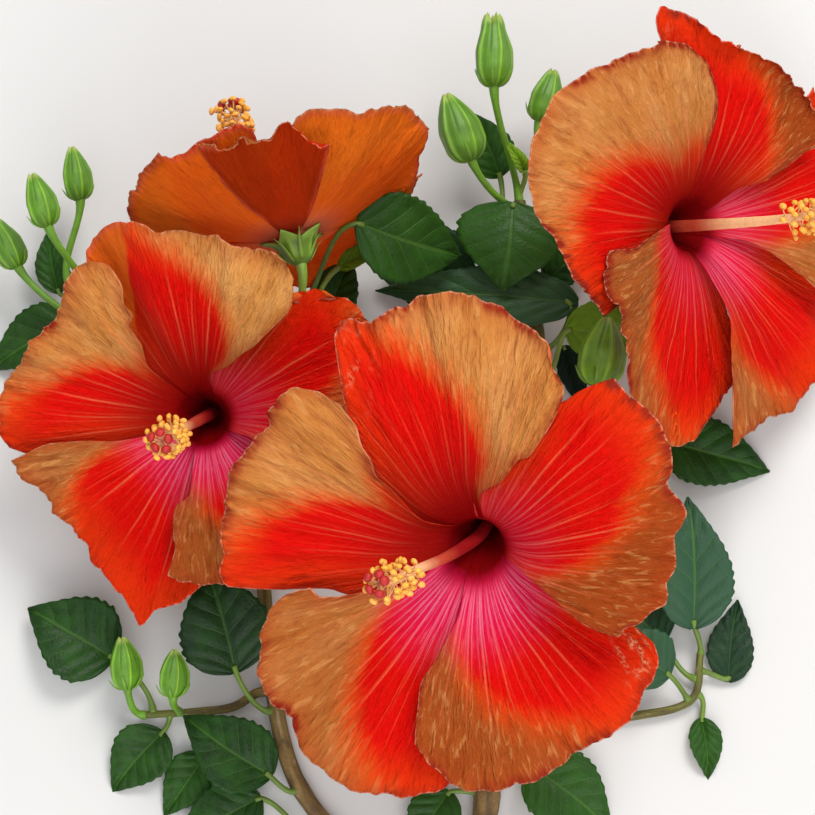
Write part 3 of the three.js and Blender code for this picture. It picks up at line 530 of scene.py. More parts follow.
leafLook = {
    "blade": (0.013, 0.060, 0.005), "shade": (0.006, 0.030, 0.003), "light": (0.034, 0.115, 0.010),
    "dark": (0.004, 0.011, 0.009), "blueSheen": (0.030, 0.080, 0.048), "vein": (0.070, 0.17, 0.025),
    "under": (0.10, 0.19, 0.06), "roughness": 0.42, "sheen": 0.18, "glow": 0.1,
    "veinStrength": 0.4, "netStrength": 0.14, "bump": (0.6, 0.0005),
}
youngLeafLook = {
    **leafLook, "blade": (0.11, 0.25, 0.008), "shade": (0.045, 0.14, 0.005),
    "light": (0.22, 0.40, 0.02), "dark": (0.02, 0.06, 0.004), "blueSheen": (0.08, 0.18, 0.06),
    "vein": (0.26, 0.42, 0.07), "under": (0.2, 0.36, 0.07), "glow": 0.22,
}


def leafMaterial(name, look):
    material, nodes, surface = newMaterial(name, look["blade"])
    place = nodes.place()
    split = nodes.add("ShaderNodeSeparateXYZ", None, Vector=place)
    side = nodes.math("ABSOLUTE", nodes.minus(nodes.times(split.outputs[0], 2.0), 1.0))
    along = split.outputs[1]
    # side veins, bowed as veinField bows them in the blade's shape
    bow, straighter = leafValues["veinBow"], leafValues["veinStraighter"]
    bowed = nodes.minus(bow, nodes.times(along, bow * straighter))
    bowed = nodes.times(nodes.math("POWER", side, leafValues["veinPower"]), bowed)
    phase = nodes.times(nodes.minus(along, bowed), float(leafValues["veinPairs"]))
    wobble = nodes.minus(nodes.streaks(place, 7.0, 12.0, 1.0), 0.5)
    phase = nodes.plus(phase, nodes.times(wobble, 0.12))
    apart = nodes.minus(nodes.math("FRACT", nodes.plus(phase, 0.5)), 0.5)
    sideVein = nodes.ramp(nodes.math("ABSOLUTE", apart), 0.075, 0.02)
    sideVein = nodes.times(sideVein, nodes.ramp(side, 0.95, 0.6))
    middleVein = nodes.ramp(nodes.times(side, nodes.ramp(along, 1.0, 0.2, 0.25)), 0.055, 0.02)
    vein = nodes.larger(middleVein, nodes.times(sideVein, 0.6))
    cells = nodes.add("ShaderNodeTexVoronoi", {"feature": "DISTANCE_TO_EDGE"}, Scale=1.0,
                      Vector=nodes.stretched(place, (16.0, 24.0, 1.0))).outputs[0]
    net = nodes.ramp(cells, 0.12, 0.02)
    patches = nodes.streaks(place, 3.0, 4.0, 3.0)
    # the blue tint is a painted sheen of reflected sky, and the light and dark marks are partly painted
    # light and shade
    colour = nodes.layers(look["shade"], look, [
        (nodes.ramp(patches, 0.35, 0.65), "blade"), (nodes.mark("light"), "light"),
        (nodes.mark("blueSheen"), "blueSheen"), (nodes.times(net, look["netStrength"]), "light"),
        (nodes.times(vein, look["veinStrength"]), "vein"), (nodes.mark("dark"), "dark")])
    back = nodes.mix(nodes.times(vein, 0.7), look["under"], look["vein"])
    colour = nodes.mix(nodes.mark("under"), colour, back)
    uneven = nodes.times(nodes.minus(patches, 0.5), 0.25)
    paint(nodes, surface, colour, nodes.plus(look["roughness"], uneven))
    height = nodes.minus(nodes.times(cells, 0.7), nodes.times(vein, 0.6))
    normal = nodes.bump(surface, height, look["bump"])
    surface.inputs["Specular IOR Level"].default_value = look["sheen"]
    letLightThrough(nodes, surface, look["glow"], colour, normal)
    return material


# fold is painted shade in the seams between the ribs
greenLooks = {
    "calyxSkin": {
        "base": (0.085, 0.175, 0.008), "rib": (0.22, 0.36, 0.04), "fold": (0.02, 0.06, 0.003),
        "tip": (0.20, 0.34, 0.04), "roughness": 0.45},
    "budSkin": {
        "base": (0.072, 0.195, 0.003), "rib": (0.19, 0.38, 0.015), "fold": (0.022, 0.075, 0.002),
        "tip": (0.34, 0.40, 0.08), "roughness": 0.5},
    "stalkSkin": {
        "base": (0.075, 0.14, 0.010), "rib": (0.22, 0.32, 0.04), "fold": (0.02, 0.05, 0.003),
        "tip": (0.20, 0.34, 0.04), "roughness": 0.5},
}
greenMottle = {"Blotch Scale": 160.0, "Grain Scale": 1500.0, "Blotches": 0.9, "Grain": 0.35}
greenBump = (0.25, 0.0003)


def greenMaterial(name, look):
    material, nodes, surface = newMaterial(name, look["base"])
    factor, grain = mottled(nodes, greenMottle)
    # ribs lighter, the tip paler, and the seams darker as painted shade
    colour = nodes.layers(look["base"], look, [
        (nodes.times(nodes.mark("rib"), 0.8), "rib"), (nodes.mark("tip"), "tip"),
        (nodes.times(nodes.mark("fold"), 0.8), "fold")])
    colour = nodes.mix(1.0, colour, factor, "MULTIPLY")
    paint(nodes, surface, colour, look["roughness"])
    nodes.bump(surface, grain, greenBump)
    return material


columnLook = {
    "foot": (0.28, 0.001, 0.003), "middle": (0.42, 0.045, 0.018), "top": (0.84, 0.50, 0.24),
    "anther": (0.74, 0.28, 0.010), "antherLight": (0.84, 0.46, 0.05), "pad": (0.38, 0.002, 0.002),
    "roughness": 0.5, "bump": (0.6, 0.0003),
}
columnMottle = {"Blotch Scale": 400.0, "Grain Scale": 2600.0, "Blotches": 0.4, "Grain": 0.5}


def columnMaterial(look):
    material, nodes, surface = newMaterial("columnSkin", look["top"])
    share = nodes.mark("share")
    factor, grain = mottled(nodes, columnMottle)
    colour = nodes.layers(look["foot"], look, [
        (nodes.ramp(share, 0.28, 0.5), "middle"), (nodes.ramp(share, 0.5, 0.76), "top")])
    pollen = nodes.mix(nodes.ramp(grain, 0.45, 0.62), look["anther"], look["antherLight"])
    colour = nodes.mix(nodes.mark("yellow"), colour, pollen)
    colour = nodes.mix(nodes.mark("pad"), colour, look["pad"])
    colour = nodes.mix(1.0, colour, factor, "MULTIPLY")
    paint(nodes, surface, colour, look["roughness"])
    nodes.bump(surface, grain, look["bump"])
    return material


barkLook = {
    "bark": (0.145, 0.070, 0.014), "ridge": (0.24, 0.135, 0.045), "crack": (0.035, 0.016, 0.006),
    "green": (0.085, 0.12, 0.010), "dot": (0.36, 0.27, 0.17), "cut": (0.56, 0.47, 0.27),
    "cutRing": (0.30, 0.26, 0.10), "roughness": 0.75, "bump": (0.6, 0.0005),
}
barkMottle = {"Blotch Scale": 90.0, "Grain Scale": 1100.0, "Blotches": 0.9, "Grain": 0.7}


def barkMaterial(look):
    material, nodes, surface = newMaterial("barkSkin", look["bark"])
    factor, grain = mottled(nodes, barkMottle)
    colour = nodes.layers(look["bark"], look, [
        (nodes.ramp(nodes.mark("grain"), -0.2, 0.7), "ridge"),
        (nodes.times(nodes.mark("young"), 0.8), "green"),
        (nodes.times(nodes.mark("crack"), 0.7), "crack"), (nodes.times(nodes.mark("dot"), 0.8), "dot")])
    colour = nodes.mix(1.0, colour, factor, "MULTIPLY")
    wood = nodes.mix(nodes.ramp(grain, 0.4, 0.7), look["cut"], look["cutRing"])
    colour = nodes.mix(nodes.mark("cut"), colour, wood)
    paint(nodes, surface, colour, look["roughness"])
    nodes.bump(surface, grain, look["bump"])
    return material


petalSkin = petalMaterial("petalSkin", petalLook)
backPetalSkin = petalMaterial("backPetalSkin", {**petalLook, **backPetalLook})
columnSkin = columnMaterial(columnLook)
barkSkin = barkMaterial(barkLook)
calyxSkin, budSkin, stalkSkin = [greenMaterial(name, look) for name, look in greenLooks.items()]

tableMaterial, tableNodes, tableSurface = newMaterial("paleTable", tableSetup["colour"])
paint(tableNodes, tableSurface, tableSetup["colour"], tableSetup["roughness"])
bpy.ops.mesh.primitive_plane_add(size=tableSetup["size"])
table = bpy.context.object
table.name = "table"
table.data.materials.append(tableMaterial)
print("materials ready")


# Blooms. A petal's rim runs from its corner to its lobe as (turn from its centre, reach), and its
# edge gives how far the lobe's side is turned at shares of its length. Its corner's side is tucked
# under its neighbour, or follows cornerEdge. rise is the rim's height, or crest gives it by turn.
# lift raises the two sides, fold bends down what is turned past an angle, curl bends the rim down
# round a place, and roll is (first turn, last turn, width, degrees) of a rim rolled to the front.
# gold brings the golden rim further in, and cornerGold and lobeGold do so at its two sides. tone
# runs from brown to gold, partly the petal's own tone and partly painted light and shade; eye is
# the pink by the throat, deep the dark red there, painted as shade, band the dark crinkled rim and
# dim a back darkened as painted shade. wrinkle deepens the creases, crumple puckers the corner, and
# what is turned past the angle named turned shows the back's colour.

tubeValues = {"depth": 26, "top": -6, "share": 0.34, "foot": 3.5, "mouth": 9.5, "climb": 2.2}
petalValues = {
    "tuck": 6, "ruffle": 1.6, "footTurn": 36, "straightened": 0.6, "fan": 38, "thickness": (0.55, 0.3),
    "relief": {"waves": 0.9, "folds": 0.5, "creases": 0.42, "crinkles": 0.26, "rimCreases": 0.6},
    "pucker": (0.6, 0.3), "nicks": 0.45, "frill": (0.5, 0.9), "overlap": 0.35,
    "goldStart": [(-1, 1.12), (-0.5, 1.0), (0, 0.84), (0.5, 0.68), (1, 0.5)], "goldWidth": 0.22,
    "foldLine": {"turn": 18.5, "reach": 0.3},   # how the edge of a folded back runs to its rim
    "fineGrid": (144, 88), "grid": (104, 68), "plainGrid": (84, 54),   # columns and rows of points
    "flare": 1.5, "flared": 0.65,   # how a petal widens past its tube, and how much of it does so
}
plainPetal = {"edge": [(0.5, 30), (0.66, 38), (0.86, 38)], "rise": 0, "lift": (-4.5, 3.5),
              "fold": (90, 0), "curl": (0, 0, 1), "roll": (0, 0, 1, 0), "tuck": 6, "gold": 0.05,
              "cornerGold": 0, "lobeGold": 0, "toneAndLight": 0.4, "eye": 0, "deep": 0, "crumple": 0, "wrinkle": 1,
              "band": 0.3, "dim": 0, "turned": 90}

blooms = {
    "front": {
        "throat": (20.6, -49.2, 89.5), "axis": (-0.12, -0.265, 0.957), "across": (1, 0, 0),
        "lean": (4, 10), "grid": "fineGrid",
        "petals": [
            {"centre": 96, "rise": 10, "toneAndLight": 0.7, "gold": 0.12, "deep": 1, "crumple": 0.4, "band": 1.1,
             "cornerEdge": [(0.5, 54), (0.62, 47), (0.72, 40), (0.82, 35), (0.92, 29)],
             "edge": [(0.53, 15), (0.63, 29), (0.72, 32), (0.75, 36), (0.87, 37), (0.96, 36)],
             "rim": [(25, 87), (22, 90), (16, 85.5), (9, 87), (-2, 88.5), (-12, 85), (-19, 80.5),
                     (-25, 78), (-27.5, 72.5), (-33, 67)]},
            {"centre": 158, "rise": 8, "toneAndLight": 0.65, "gold": 0.12, "lobeGold": -0.22, "deep": 0.9, "band": 1,
             "cornerEdge": [(0.5, 50), (0.64, 44), (0.76, 34), (0.9, 31)],
             "edge": [(0.5, 17), (0.64, 21), (0.76, 22), (0.81, 25), (0.86, 26), (0.93, 29)],
             "rim": [(29, 82), (26, 84.5), (21, 82), (14, 83), (5, 83.5), (-7, 81.5), (-13, 79.5),
                     (-16, 82), (-21, 80.5), (-26, 76), (-29, 66)]},
            {"centre": 228, "rise": 6, "toneAndLight": 0.38, "gold": 0.1, "eye": 1, "band": 1.3, "wrinkle": 1.2,
             "edge": [(0.5, 26), (0.75, 32), (0.91, 35), (0.94, 39)],
             "rim": [(38, 74), (36, 76), (23, 83), (13, 86), (5, 85), (-3, 82), (-8, 78.5), (-14, 80),
                     (-25, 74.5), (-33, 69), (-39, 58)]},
            {"centre": 295, "rise": 4, "toneAndLight": 0.1, "gold": 0.03, "eye": 0.95, "crumple": 1, "band": 0.9,
             "edge": [(0.5, 36), (0.60, 40), (0.71, 43), (0.80, 46), (0.88, 44), (0.96, 42)],
             "rim": [(41, 67), (35, 71.5), (29, 72), (16, 74), (7, 72), (-2, 73.5), (-13, 75.5),
                     (-25, 75.5), (-32, 71), (-41, 62)]},
            {"centre": 377, "rise": 12, "toneAndLight": 0.05, "gold": 0.05, "eye": 0.2, "deep": 0.5,
             "band": 1.5, "edge": [(0.48, 27), (0.58, 32), (0.70, 37), (0.79, 41), (0.89, 43)],
             "rim": [(46, 60), (41, 63), (37, 73), (34, 77.5), (23, 77.5), (14, 76), (8, 73.5),
                     (5, 70.5), (-2, 73), (-10, 68), (-17, 68.5), (-22, 64.5), (-26, 65.5),
                     (-30, 61.5), (-42, 53)]},
        ],
    },
    "left": {
        "throat": (-72.1, 5.8, 52.2), "axis": (-0.12, -0.303, 0.945), "across": (1, 0, 0),
        "lean": (0, 0), "grid": "grid",
        "petals": [
            {"centre": 82, "rise": 10, "toneAndLight": 1, "gold": 0.1, "deep": 0.9, "fold": (29, -11),
             "turned": 29, "curl": (3, 0.35, 0.25),
             "edge": [(0.46, 5), (0.57, 22), (0.66, 27), (0.74, 31), (0.83, 32), (0.91, 33), (0.97, 31)],
             "rim": [(47, 66), (43, 71), (36, 74), (29, 74), (25, 71.5), (17, 66.5), (9, 66), (3, 65),
                     (-6, 63), (-10, 63), (-17, 65.5), (-22, 64.5), (-26, 58)]},
            {"centre": 155, "rise": 6, "toneAndLight": 0.7, "gold": 0.12, "lobeGold": -0.1, "deep": 0.9, "band": 1.1,
             "edge": [(0.57, 22), (0.69, 30), (0.75, 30), (0.78, 35), (0.82, 34), (0.89, 37), (0.96, 36)],
             "rim": [(34, 70), (28, 71.5), (16, 70.5), (10, 66.5), (3, 65.5), (-4, 62.5), (-11, 61),
                     (-18, 63), (-24, 65), (-28, 67), (-32, 65.5)]},
            {"centre": 227, "rise": 2, "toneAndLight": 0.4, "gold": -0.14, "lobeGold": 0.14, "eye": 1,
             "edge": [(0.5, 30), (0.65, 33), (0.77, 37), (0.87, 38)],
             "rim": [(47, 56), (40, 61), (34, 67), (29, 69.5), (26, 77), (23, 73), (18, 68), (12, 65),
                     (5, 62.5), (-4, 60), (-16, 60.5), (-23, 61), (-31, 67), (-35, 66)]},
            {"centre": 299, "rise": 2, "toneAndLight": 0.2, "gold": 0.03, "eye": 1, "wrinkle": 2,
             "edge": [(0.5, 38), (0.64, 36), (0.72, 44), (0.84, 41), (0.90, 39)],
             "rim": [(34, 60), (10, 58), (-10, 57), (-24, 57), (-35, 56), (-40, 54)]},
            {"centre": 371, "rise": 8, "toneAndLight": 0.25, "gold": 0.1, "eye": 0.3, "deep": 0.3,
             "edge": [(0.5, 28), (0.66, 36), (0.86, 36)],
             "rim": [(38, 54), (34, 60), (29, 67), (23, 69.5), (10, 70), (0, 68), (-20, 64),
                     (-34, 61)]},
        ],
    },
    "right": {
        "throat": (102.1, 73.1, 62.4), "axis": (0.6, -0.186, 0.778), "across": (1, 0, 0),
        "lean": (0, 0), "grid": "grid",
        "petals": [
            {"centre": 78, "rise": 10, "lift": (-5, 3), "toneAndLight": 0.05, "gold": -0.06, "deep": 0.9,
             "wrinkle": 1.4, "band": 1.4, "roll": (-60, 20, 6.5, 130), "crumple": 0.15,
             "edge": [(0.5, 35), (0.66, 44), (0.86, 44)],
             "cornerEdge": [(0.5, 42), (0.7, 35), (0.85, 33)],
             "rim": [(32, 75), (29, 78), (26, 77), (20, 71.5), (10, 66), (0, 64.5), (-9, 64), (-20, 63.5),
                     (-28, 62), (-48, 58)]},
            {"centre": 157, "rise": 8, "toneAndLight": 0.6, "gold": 0.17, "lobeGold": -0.22,
             "cornerGold": -0.15, "deep": 0.8, "band": 1.3, "wrinkle": 1.2,
             "edge": [(0.5, 52), (0.7, 62), (0.84, 66), (0.93, 63)],
             "rim": [(58, 57), (50, 60), (39, 66.5), (29, 70), (19, 81), (8, 86.5), (-2, 85), (-17, 76),
                     (-36, 68), (-50, 64), (-60, 56)]},
            {"centre": 235, "rise": 4, "lift": (-6.5, 3.5), "toneAndLight": 0.2, "gold": 0.1, "lobeGold": -0.1,
             "eye": 0.3, "deep": 0.2, "band": 1.3, "wrinkle": 1.4,
             "edge": [(0.55, 50), (0.72, 45), (0.85, 41)],
             "cornerEdge": [(0.6, 69), (0.74, 64), (0.88, 58)],
             "rim": [(54, 56), (46, 61), (38, 70), (32, 76.5), (23, 77.5), (9, 72), (1, 66), (-3, 58),
                     (-14, 54), (-26, 54), (-35, 52), (-43, 50)]},
            {"centre": 308, "rise": 6, "lift": (-4.5, 5), "toneAndLight": 0.3, "gold": -0.12, "eye": 0.75,
             "edge": [(0.6, 24), (0.74, 30), (0.9, 33)],
             "rim": [(36, 72), (20, 75), (2, 76), (-8, 75), (-19, 72), (-26, 73), (-34, 76)]},
            {"centre": 368, "rise": 8, "toneAndLight": 0.35, "gold": 0.05, "eye": 0.5, "deep": 0.3,
             "edge": [(0.5, 23), (0.75, 31)],
             "rim": [(36, 73), (0, 74), (-20, 70), (-36, 64)]},
        ],
    },
    "back": {
        "throat": (-44.6, 88.8, 62), "axis": (-0.25, 0.968, -0.009), "across": (0.967, 0.247, 0.052),
        "lean": (0, 0), "grid": "plainGrid",
        "tube": {"depth": 26, "top": -20, "share": 0.2, "foot": 3.5, "mouth": 6, "bowl": 2.2},
        "calyx": {"notch": -23, "tip": -20.2, "hook": 0.4,
                  "profile": [(-31, 0.5), (-30.3, 2.4), (-28, 4.6), (-24, 6.4), (-21.5, 8.5),
                              (-20, 12)]},
        "petals": [
            {"centre": 58, "crest": [(38, -25), (20, -23), (6, -19), (-9, -13), (-36, -4)],
             "rim": [(38, 50), (20, 52), (0, 52), (-20, 54), (-36, 52)]},
            {"centre": 140, "crest": [(38, -4), (20, -7), (-10, -13), (-36, -19)],
             "rim": [(38, 54), (18, 57), (0, 56), (-18, 56), (-38, 52)]},
            {"centre": 208, "band": 0.6, "dim": 0.15,
             "edge": [(0.5, 26), (0.66, 32), (0.86, 34)],
             "crest": [(58, 4), (52, 5.6), (32, 6.5), (10, 7.5), (-3, 7), (-18, 1.5), (-34, -3)],
             "rim": [(58, 50), (52, 51.5), (32, 53), (-3, 52), (-18, 54), (-34, 52)]},
            {"centre": 268, "tuck": 0, "dim": 0.9, "roll": (-14, 26, 4, -150),
             "edge": [(0.5, 22), (0.66, 26), (0.86, 26)],
             "crest": [(28, -6), (20, 0), (12, 4), (-8, 3.5), (-24, 4)],
             "rim": [(28, 46), (20, 52), (10, 55), (-8, 54), (-24, 51)]},
            {"centre": 336, "toneAndLight": 0.6, "edge": [(0.5, 40), (0.66, 48), (0.86, 54)],
             "crest": [(38, -10), (29, -5), (14, 1), (-16, 4), (-31, 5.5), (-46, 6), (-56, 4.5)],
             "rim": [(38, 46), (29, 49), (14, 55.5), (-2, 57), (-16, 56), (-31, 52), (-46, 48),
                     (-56, 48)]},
        ],
    },
}
for bloom in blooms.values():
    bloom["petals"] = [{**plainPetal, **petal} for petal in bloom["petals"]]


def bloomFrame(bloom):   # the throat and the three directions of a bloom
    axis = unit(np.array(bloom["axis"], float))
    across = np.array(bloom["across"], float)
    across = unit(across - axis * np.dot(across, axis))
    return np.array(bloom["throat"], float), np.stack([across, np.cross(axis, across), axis])


def fromBloom(bloom, points):
    origin, directions = bloomFrame(bloom)
    return origin + points @ directions


def lobeKnots(bloom, petal):   # how far a petal's lobe side is turned, from its foot to its rim
    share = bloom.get("tube", tubeValues)["share"]
    edge = petal["edge"]
    return [(0, petalValues["footTurn"]), (share, edge[0][1] + petalValues["tuck"]), *edge,
            (1, -petal["rim"][-1][0])]


def petalTurn(bloom, index, s, t):   # how far a point of a petal is turned from its centre line
    petal = bloom["petals"][index]
    after = bloom["petals"][(index + 1) % 5]
    spacing = (after["centre"] - petal["centre"]) % 360
    corner = petal["rim"][0][0]
    knots = lobeKnots(bloom, after)
    # its corner's side reaches a little under the next petal's lobe, or follows its own line
    hidden = [(at, spacing - turn + petal["tuck"]) for at, turn in knots[2:-1]]
    wide = [(at, max(turn, corner) if at > 0.6 else turn) for at, turn in hidden]
    wide = petal.get("cornerEdge", wide)
    cornerSide = [knots[0], (knots[1][0], wide[0][1]), *wide, (1, corner)]
    return -s * np.where(s < 0, through(cornerSide, t), through(lobeKnots(bloom, petal), t))


def petalSurface(bloom, index, s, t):
    # s runs across a petal from its corner's side to its lobe's side, and t from its foot to its rim
    petal = bloom["petals"][index]
    tube = bloom.get("tube", tubeValues)
    rim = petal["rim"]
    turn = petalTurn(bloom, index, s, t)
    atRim = -s * np.where(s < 0, rim[0][0], -rim[-1][0])
    reach = through(rim[::-1], atRim)
    inTube = np.clip(t / tube["share"], 0, 1)
    out = np.clip((t - tube["share"]) / (1 - tube["share"]), 0, 1)
    radius = tube["foot"] * smooth(t + 0.05, 0, 0.13) + (tube["mouth"] - tube["foot"]) * inTube ** 1.6
    radius = radius + petalValues["overlap"] * s   # one side outside its neighbour
    flared = petalValues["flared"]
    spread = (1 - flared) * out + flared * out ** petalValues["flare"]
    radius = radius + (reach - tube["mouth"]) * spread
    # its height, with the sides raised, ruffles, a fold and a curl
    height = -tube["depth"] + (tube["depth"] + tube["top"]) * inTube
    climb = out ** tube["bowl"] if "bowl" in tube else 1 - (1 - out) ** tube["climb"]
    if "crest" in petal:
        height = height + (through(petal["crest"][::-1], atRim) - tube["top"]) * climb
        side = 0
    else:
        height = height + (petal["rise"] - tube["top"]) * climb
        lift = petal["lift"]
        side = np.where(s < 0, -s * lift[0], s * lift[1]) * (0.3 + 0.7 * smooth((t - 0.3) / 0.5))
    wave = petalValues["ruffle"] * np.sin(3 * np.pi * s + index * 1.7) * t ** 4
    foldTurn, drop = petal["fold"]
    side = side + drop * smooth(turn, foldTurn - 2, foldTurn + 12) * smooth(t, 0.4, 0.9)
    roll, rollPlace, rollWidth = petal["curl"]
    side = side - roll * smooth(t, 0.9, 1.0) * np.exp(-((s - rollPlace) / rollWidth) ** 2)
    lean = 1 - smooth(t / petalValues["straightened"])
    angle = np.radians(petal["centre"] + turn)
    return np.stack([bloom["lean"][0] * lean + radius * np.cos(angle),
                     bloom["lean"][1] * lean + radius * np.sin(angle),
                     height + side + wave], -1)


def petalRelief(s, t, wrinkle, seed):   # waves and creases in millimetres, and how creased it is
    size = petalValues["relief"]
    warp = softNoise(s * 2.1, t * 3, seed) * 0.35
    wide = softNoise(s * 3.4 + warp, t * 1.6, seed + 1)
    folds = softNoise(s * 8 + warp, t * 4 + warp, seed + 2)
    small = softNoise(s * 7, t * 6, seed + 8) * 0.5
    creases = 1 - 2.4 * np.abs(softNoise(s * 11 + small, t * 7.5 + warp, seed + 3))
    crinkles = 1 - 2.4 * np.abs(softNoise(s * 21 + small, t * 13 + small, seed + 4))
    outer = smooth(t, 0.5, 0.9)
    rimward = smooth(t, 0.86, 1.0)
    fine = size["folds"] * folds + size["creases"] * creases + size["crinkles"] * crinkles
    relief = (size["waves"] * wide * smooth(t, 0.4, 1.0) + fine * outer * wrinkle
              + size["rimCreases"] * creases * rimward * softNoise(s * 5, t, seed + 5))
    depth = np.clip(-0.5 * creases - 0.4 * crinkles - 0.2 * folds + 0.1, 0, 1) * outer
    return relief, depth


def rolled(middle, fromRim, width, turned):   # a petal with its rim rolled over its front
    outward, front = unit(np.gradient(middle, axis=0)), gridNormals(middle)
    flat = np.clip(width - fromRim, 0, None)
    angle = np.radians(turned) * flat / width
    forward = flat * (np.sinc(angle / np.pi) - 1)
    upward = flat * angle / 2 * np.sinc(angle / 2 / np.pi) ** 2
    return middle + outward * forward[..., None] + front * upward[..., None]


def addPetal(name, bloom, index, seed):
    petal = bloom["petals"][index]
    values = petalValues
    columns, rows = values[bloom["grid"]]
    s, t = np.meshgrid(np.linspace(-1, 1, columns), np.linspace(0, 1, rows) ** 0.85)
    middle = petalSurface(bloom, index, s, t)
    widths = np.linalg.norm(np.diff(middle, axis=1), axis=-1).sum(1)[:, None]
    lengths = np.linalg.norm(np.diff(middle, axis=0), axis=-1).sum(0)[None]
    turn = petalTurn(bloom, index, s, t)
    radius = np.linalg.norm(middle[..., :2], axis=-1)
    fan = -turn / values["fan"]
    first, last, width, turned = petal["roll"]
    share = smooth(turn, first - 4, first + 4) * smooth(turn, last + 4, last - 4)
    middle = rolled(middle, (1 - t) * lengths, width, turned * share)
    # creases, the puckered corner, nicks along the rim and the frill
    relief, depth = petalRelief(fan, t, petal["wrinkle"], seed)
    crumple = smooth(s, -0.55, -0.9) * smooth(t, 0.76, 0.9) * petal["crumple"]
    across, out = s * widths / 2, t * lengths
    pucker = softNoise(across / 3, out / 3, seed + 9)
    large, small = values["pucker"]
    relief = relief + crumple * (large * pucker + small * softNoise(across / 1.4, out / 1.6, seed + 10))
    relief = relief + values["nicks"] * softNoise(across / 1.5, 0 * s, seed + 11) * smooth(t, 0.94, 1.0)
    middle = middle + gridNormals(middle) * relief[..., None]
    small, large = values["frill"]
    frill = softNoise(s * 26, s * 0, seed + 6) * small + softNoise(s * 10, s * 0, seed + 7) * large
    outward = unit(np.gradient(middle, axis=0))
    middle = middle + outward * (frill * smooth(t, 0.9, 1.0))[..., None]
    # the masks that its material reads
    start = through(values["goldStart"], s) - petal["gold"]
    start = start - petal["cornerGold"] * smooth(s, -0.3, -0.9) - petal["lobeGold"] * smooth(s, 0.5, 1)
    gold = np.clip((t - start) / values["goldWidth"], -0.6, 1)
    inset = np.minimum((1 - t) * lengths, (1 - np.abs(s)) * widths / 2 + 1.5 * smooth(t, 0.6, 0.4))
    band = petal["band"] * np.clip(0.6 + 0.9 * softNoise(across / 9, 0 * s, seed + 12), 0, 1)
    # crease is the depth of the creases, which the painted shade in their valleys follows
    fields = {"gold": gold, "eye": petal["eye"] * smooth(t, 0.72, 0.46),
              # deep: the dark red of the upper petals' eye zone, painted shade
              "deep": petal["deep"] * smooth(t, 0.78, 0.42), "creaseShade": depth, "inset": inset,
              "span": radius * math.radians(values["fan"]), "band": band,
              # dim is painted shade on a petal's back
              "toneAndLight": np.full(s.shape, petal["toneAndLight"]), "dim": np.full(s.shape, petal["dim"]),
              # fleck: painted highlights on the ridges of the crumpled corner
              "fleckHighlight": crumple * smooth(pucker, 0.05, 0.5)}
    atFoot, atRim = values["thickness"]
    points, faces, place, island = sheetMesh(fromBloom(bloom, middle), atFoot + (atRim - atFoot) * t)
    corners = faces[0] % s.size
    place = np.stack([fan.ravel()[corners] + 0.37 * seed, t.ravel()[corners]], -1)
    marks = {key: np.tile(field.ravel(), 2) for key, field in fields.items()}
    foldLine = values["foldLine"]
    past = turn - petal["turned"] - foldLine["turn"] * ((1 - t) / foldLine["reach"]) ** 2
    below = np.ones(s.shape)
    below[:, [0, -1]] = below[-1] = 0   # so that the cut edge looks like the front
    marks["under"] = np.concatenate([smooth(past, -1, 1).ravel(), below.ravel()])
    piece = makePiece(name, points, faces, marks, place, island)
    piece.data.materials.append(backPetalSkin if bloom is blooms["back"] else petalSkin)
    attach(piece, "root")
    return piece


for bloomNumber, (bloomName, bloom) in enumerate(blooms.items()):
    for petalNumber in range(5):
        petalPiece = addPetal(f"petal_{bloomName}_{petalNumber + 1}", bloom, petalNumber,
                              10 * bloomNumber + petalNumber)
        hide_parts(f"bloom_{bloomName}_petals")
    print("petals of the", bloomName, "bloom made")

# Limbs: each centre line, its radius from foot to tip, the nodes it stands for and how green it is

limbs = {
    "main": {
        "points": [(8, -230, 5.6), (19, -178, 5.2), (28, -122, 4.9), (27, -85, 5), (33, -37, 8),
                   (47, 14, 13), (47, 47, 15), (43, 72, 16), (41, 95, 17)],
        "radius": (5.4, 2.2), "nodes": ["stem_foot", "stem_right", "stem_top"], "green": (0, 0.9)},
    "left": {
        "carrier": "main",
        "points": [(16, -184, 5), (-3, -156, 4.2), (-26, -134, 3.9), (-41, -112, 4), (-49, -76, 5),
                   (-52, -36, 7), (-53, 8, 10), (-48, 40, 14), (-39, 52, 18)],
        "radius": (3.7, 2), "nodes": ["stem_left", "stem_left_top"], "green": (0, 0.9)},
    "twigLeft": {
        "carrier": "left", "points": [(-53, 11, 10), (-80, 33, 10), (-107, 50, 12), (-122, 62, 16)],
        "radius": (1.9, 1.3), "nodes": ["twig_left"], "green": (0.4, 1)},
    "twigLow": {
        "carrier": "left", "points": [(-48, -83, 5), (-62, -89, 5), (-78, -91, 5), (-94, -92, 5)],
        "radius": (1.8, 1.2), "nodes": ["twig_low"], "green": (0.4, 1)},
    "twigRight": {
        "carrier": "main",
        "points": [(27, -83, 5), (55, -92, 4), (83, -92, 4), (102, -86, 4.5), (105, -70, 6)],
        "radius": (2, 1.3), "nodes": ["twig_right"], "green": (0.3, 1)},
}
limbValues = {"points": 401, "step": 1.4, "sides": 26, "gap": 0.35, "sunk": 0.9, "fissure": 0.22,
              "lump": 0.05, "dot": 0.25, "node": 0.072, "cutRings": (0.12, 0.5, 0.9), "sharp": 50}


def alongLine(line, share):   # the point and direction at a share of an evenly spaced line
    at = share * (len(line) - 1)
    low = min(int(at), len(line) - 2)
    point = line[low] + (line[low + 1] - line[low]) * (at - low)
    return point, unit(line[low + 1] - line[low])


def limbRadius(limb, share):
    return limb["radius"][0] + (limb["radius"][1] - limb["radius"][0]) * share


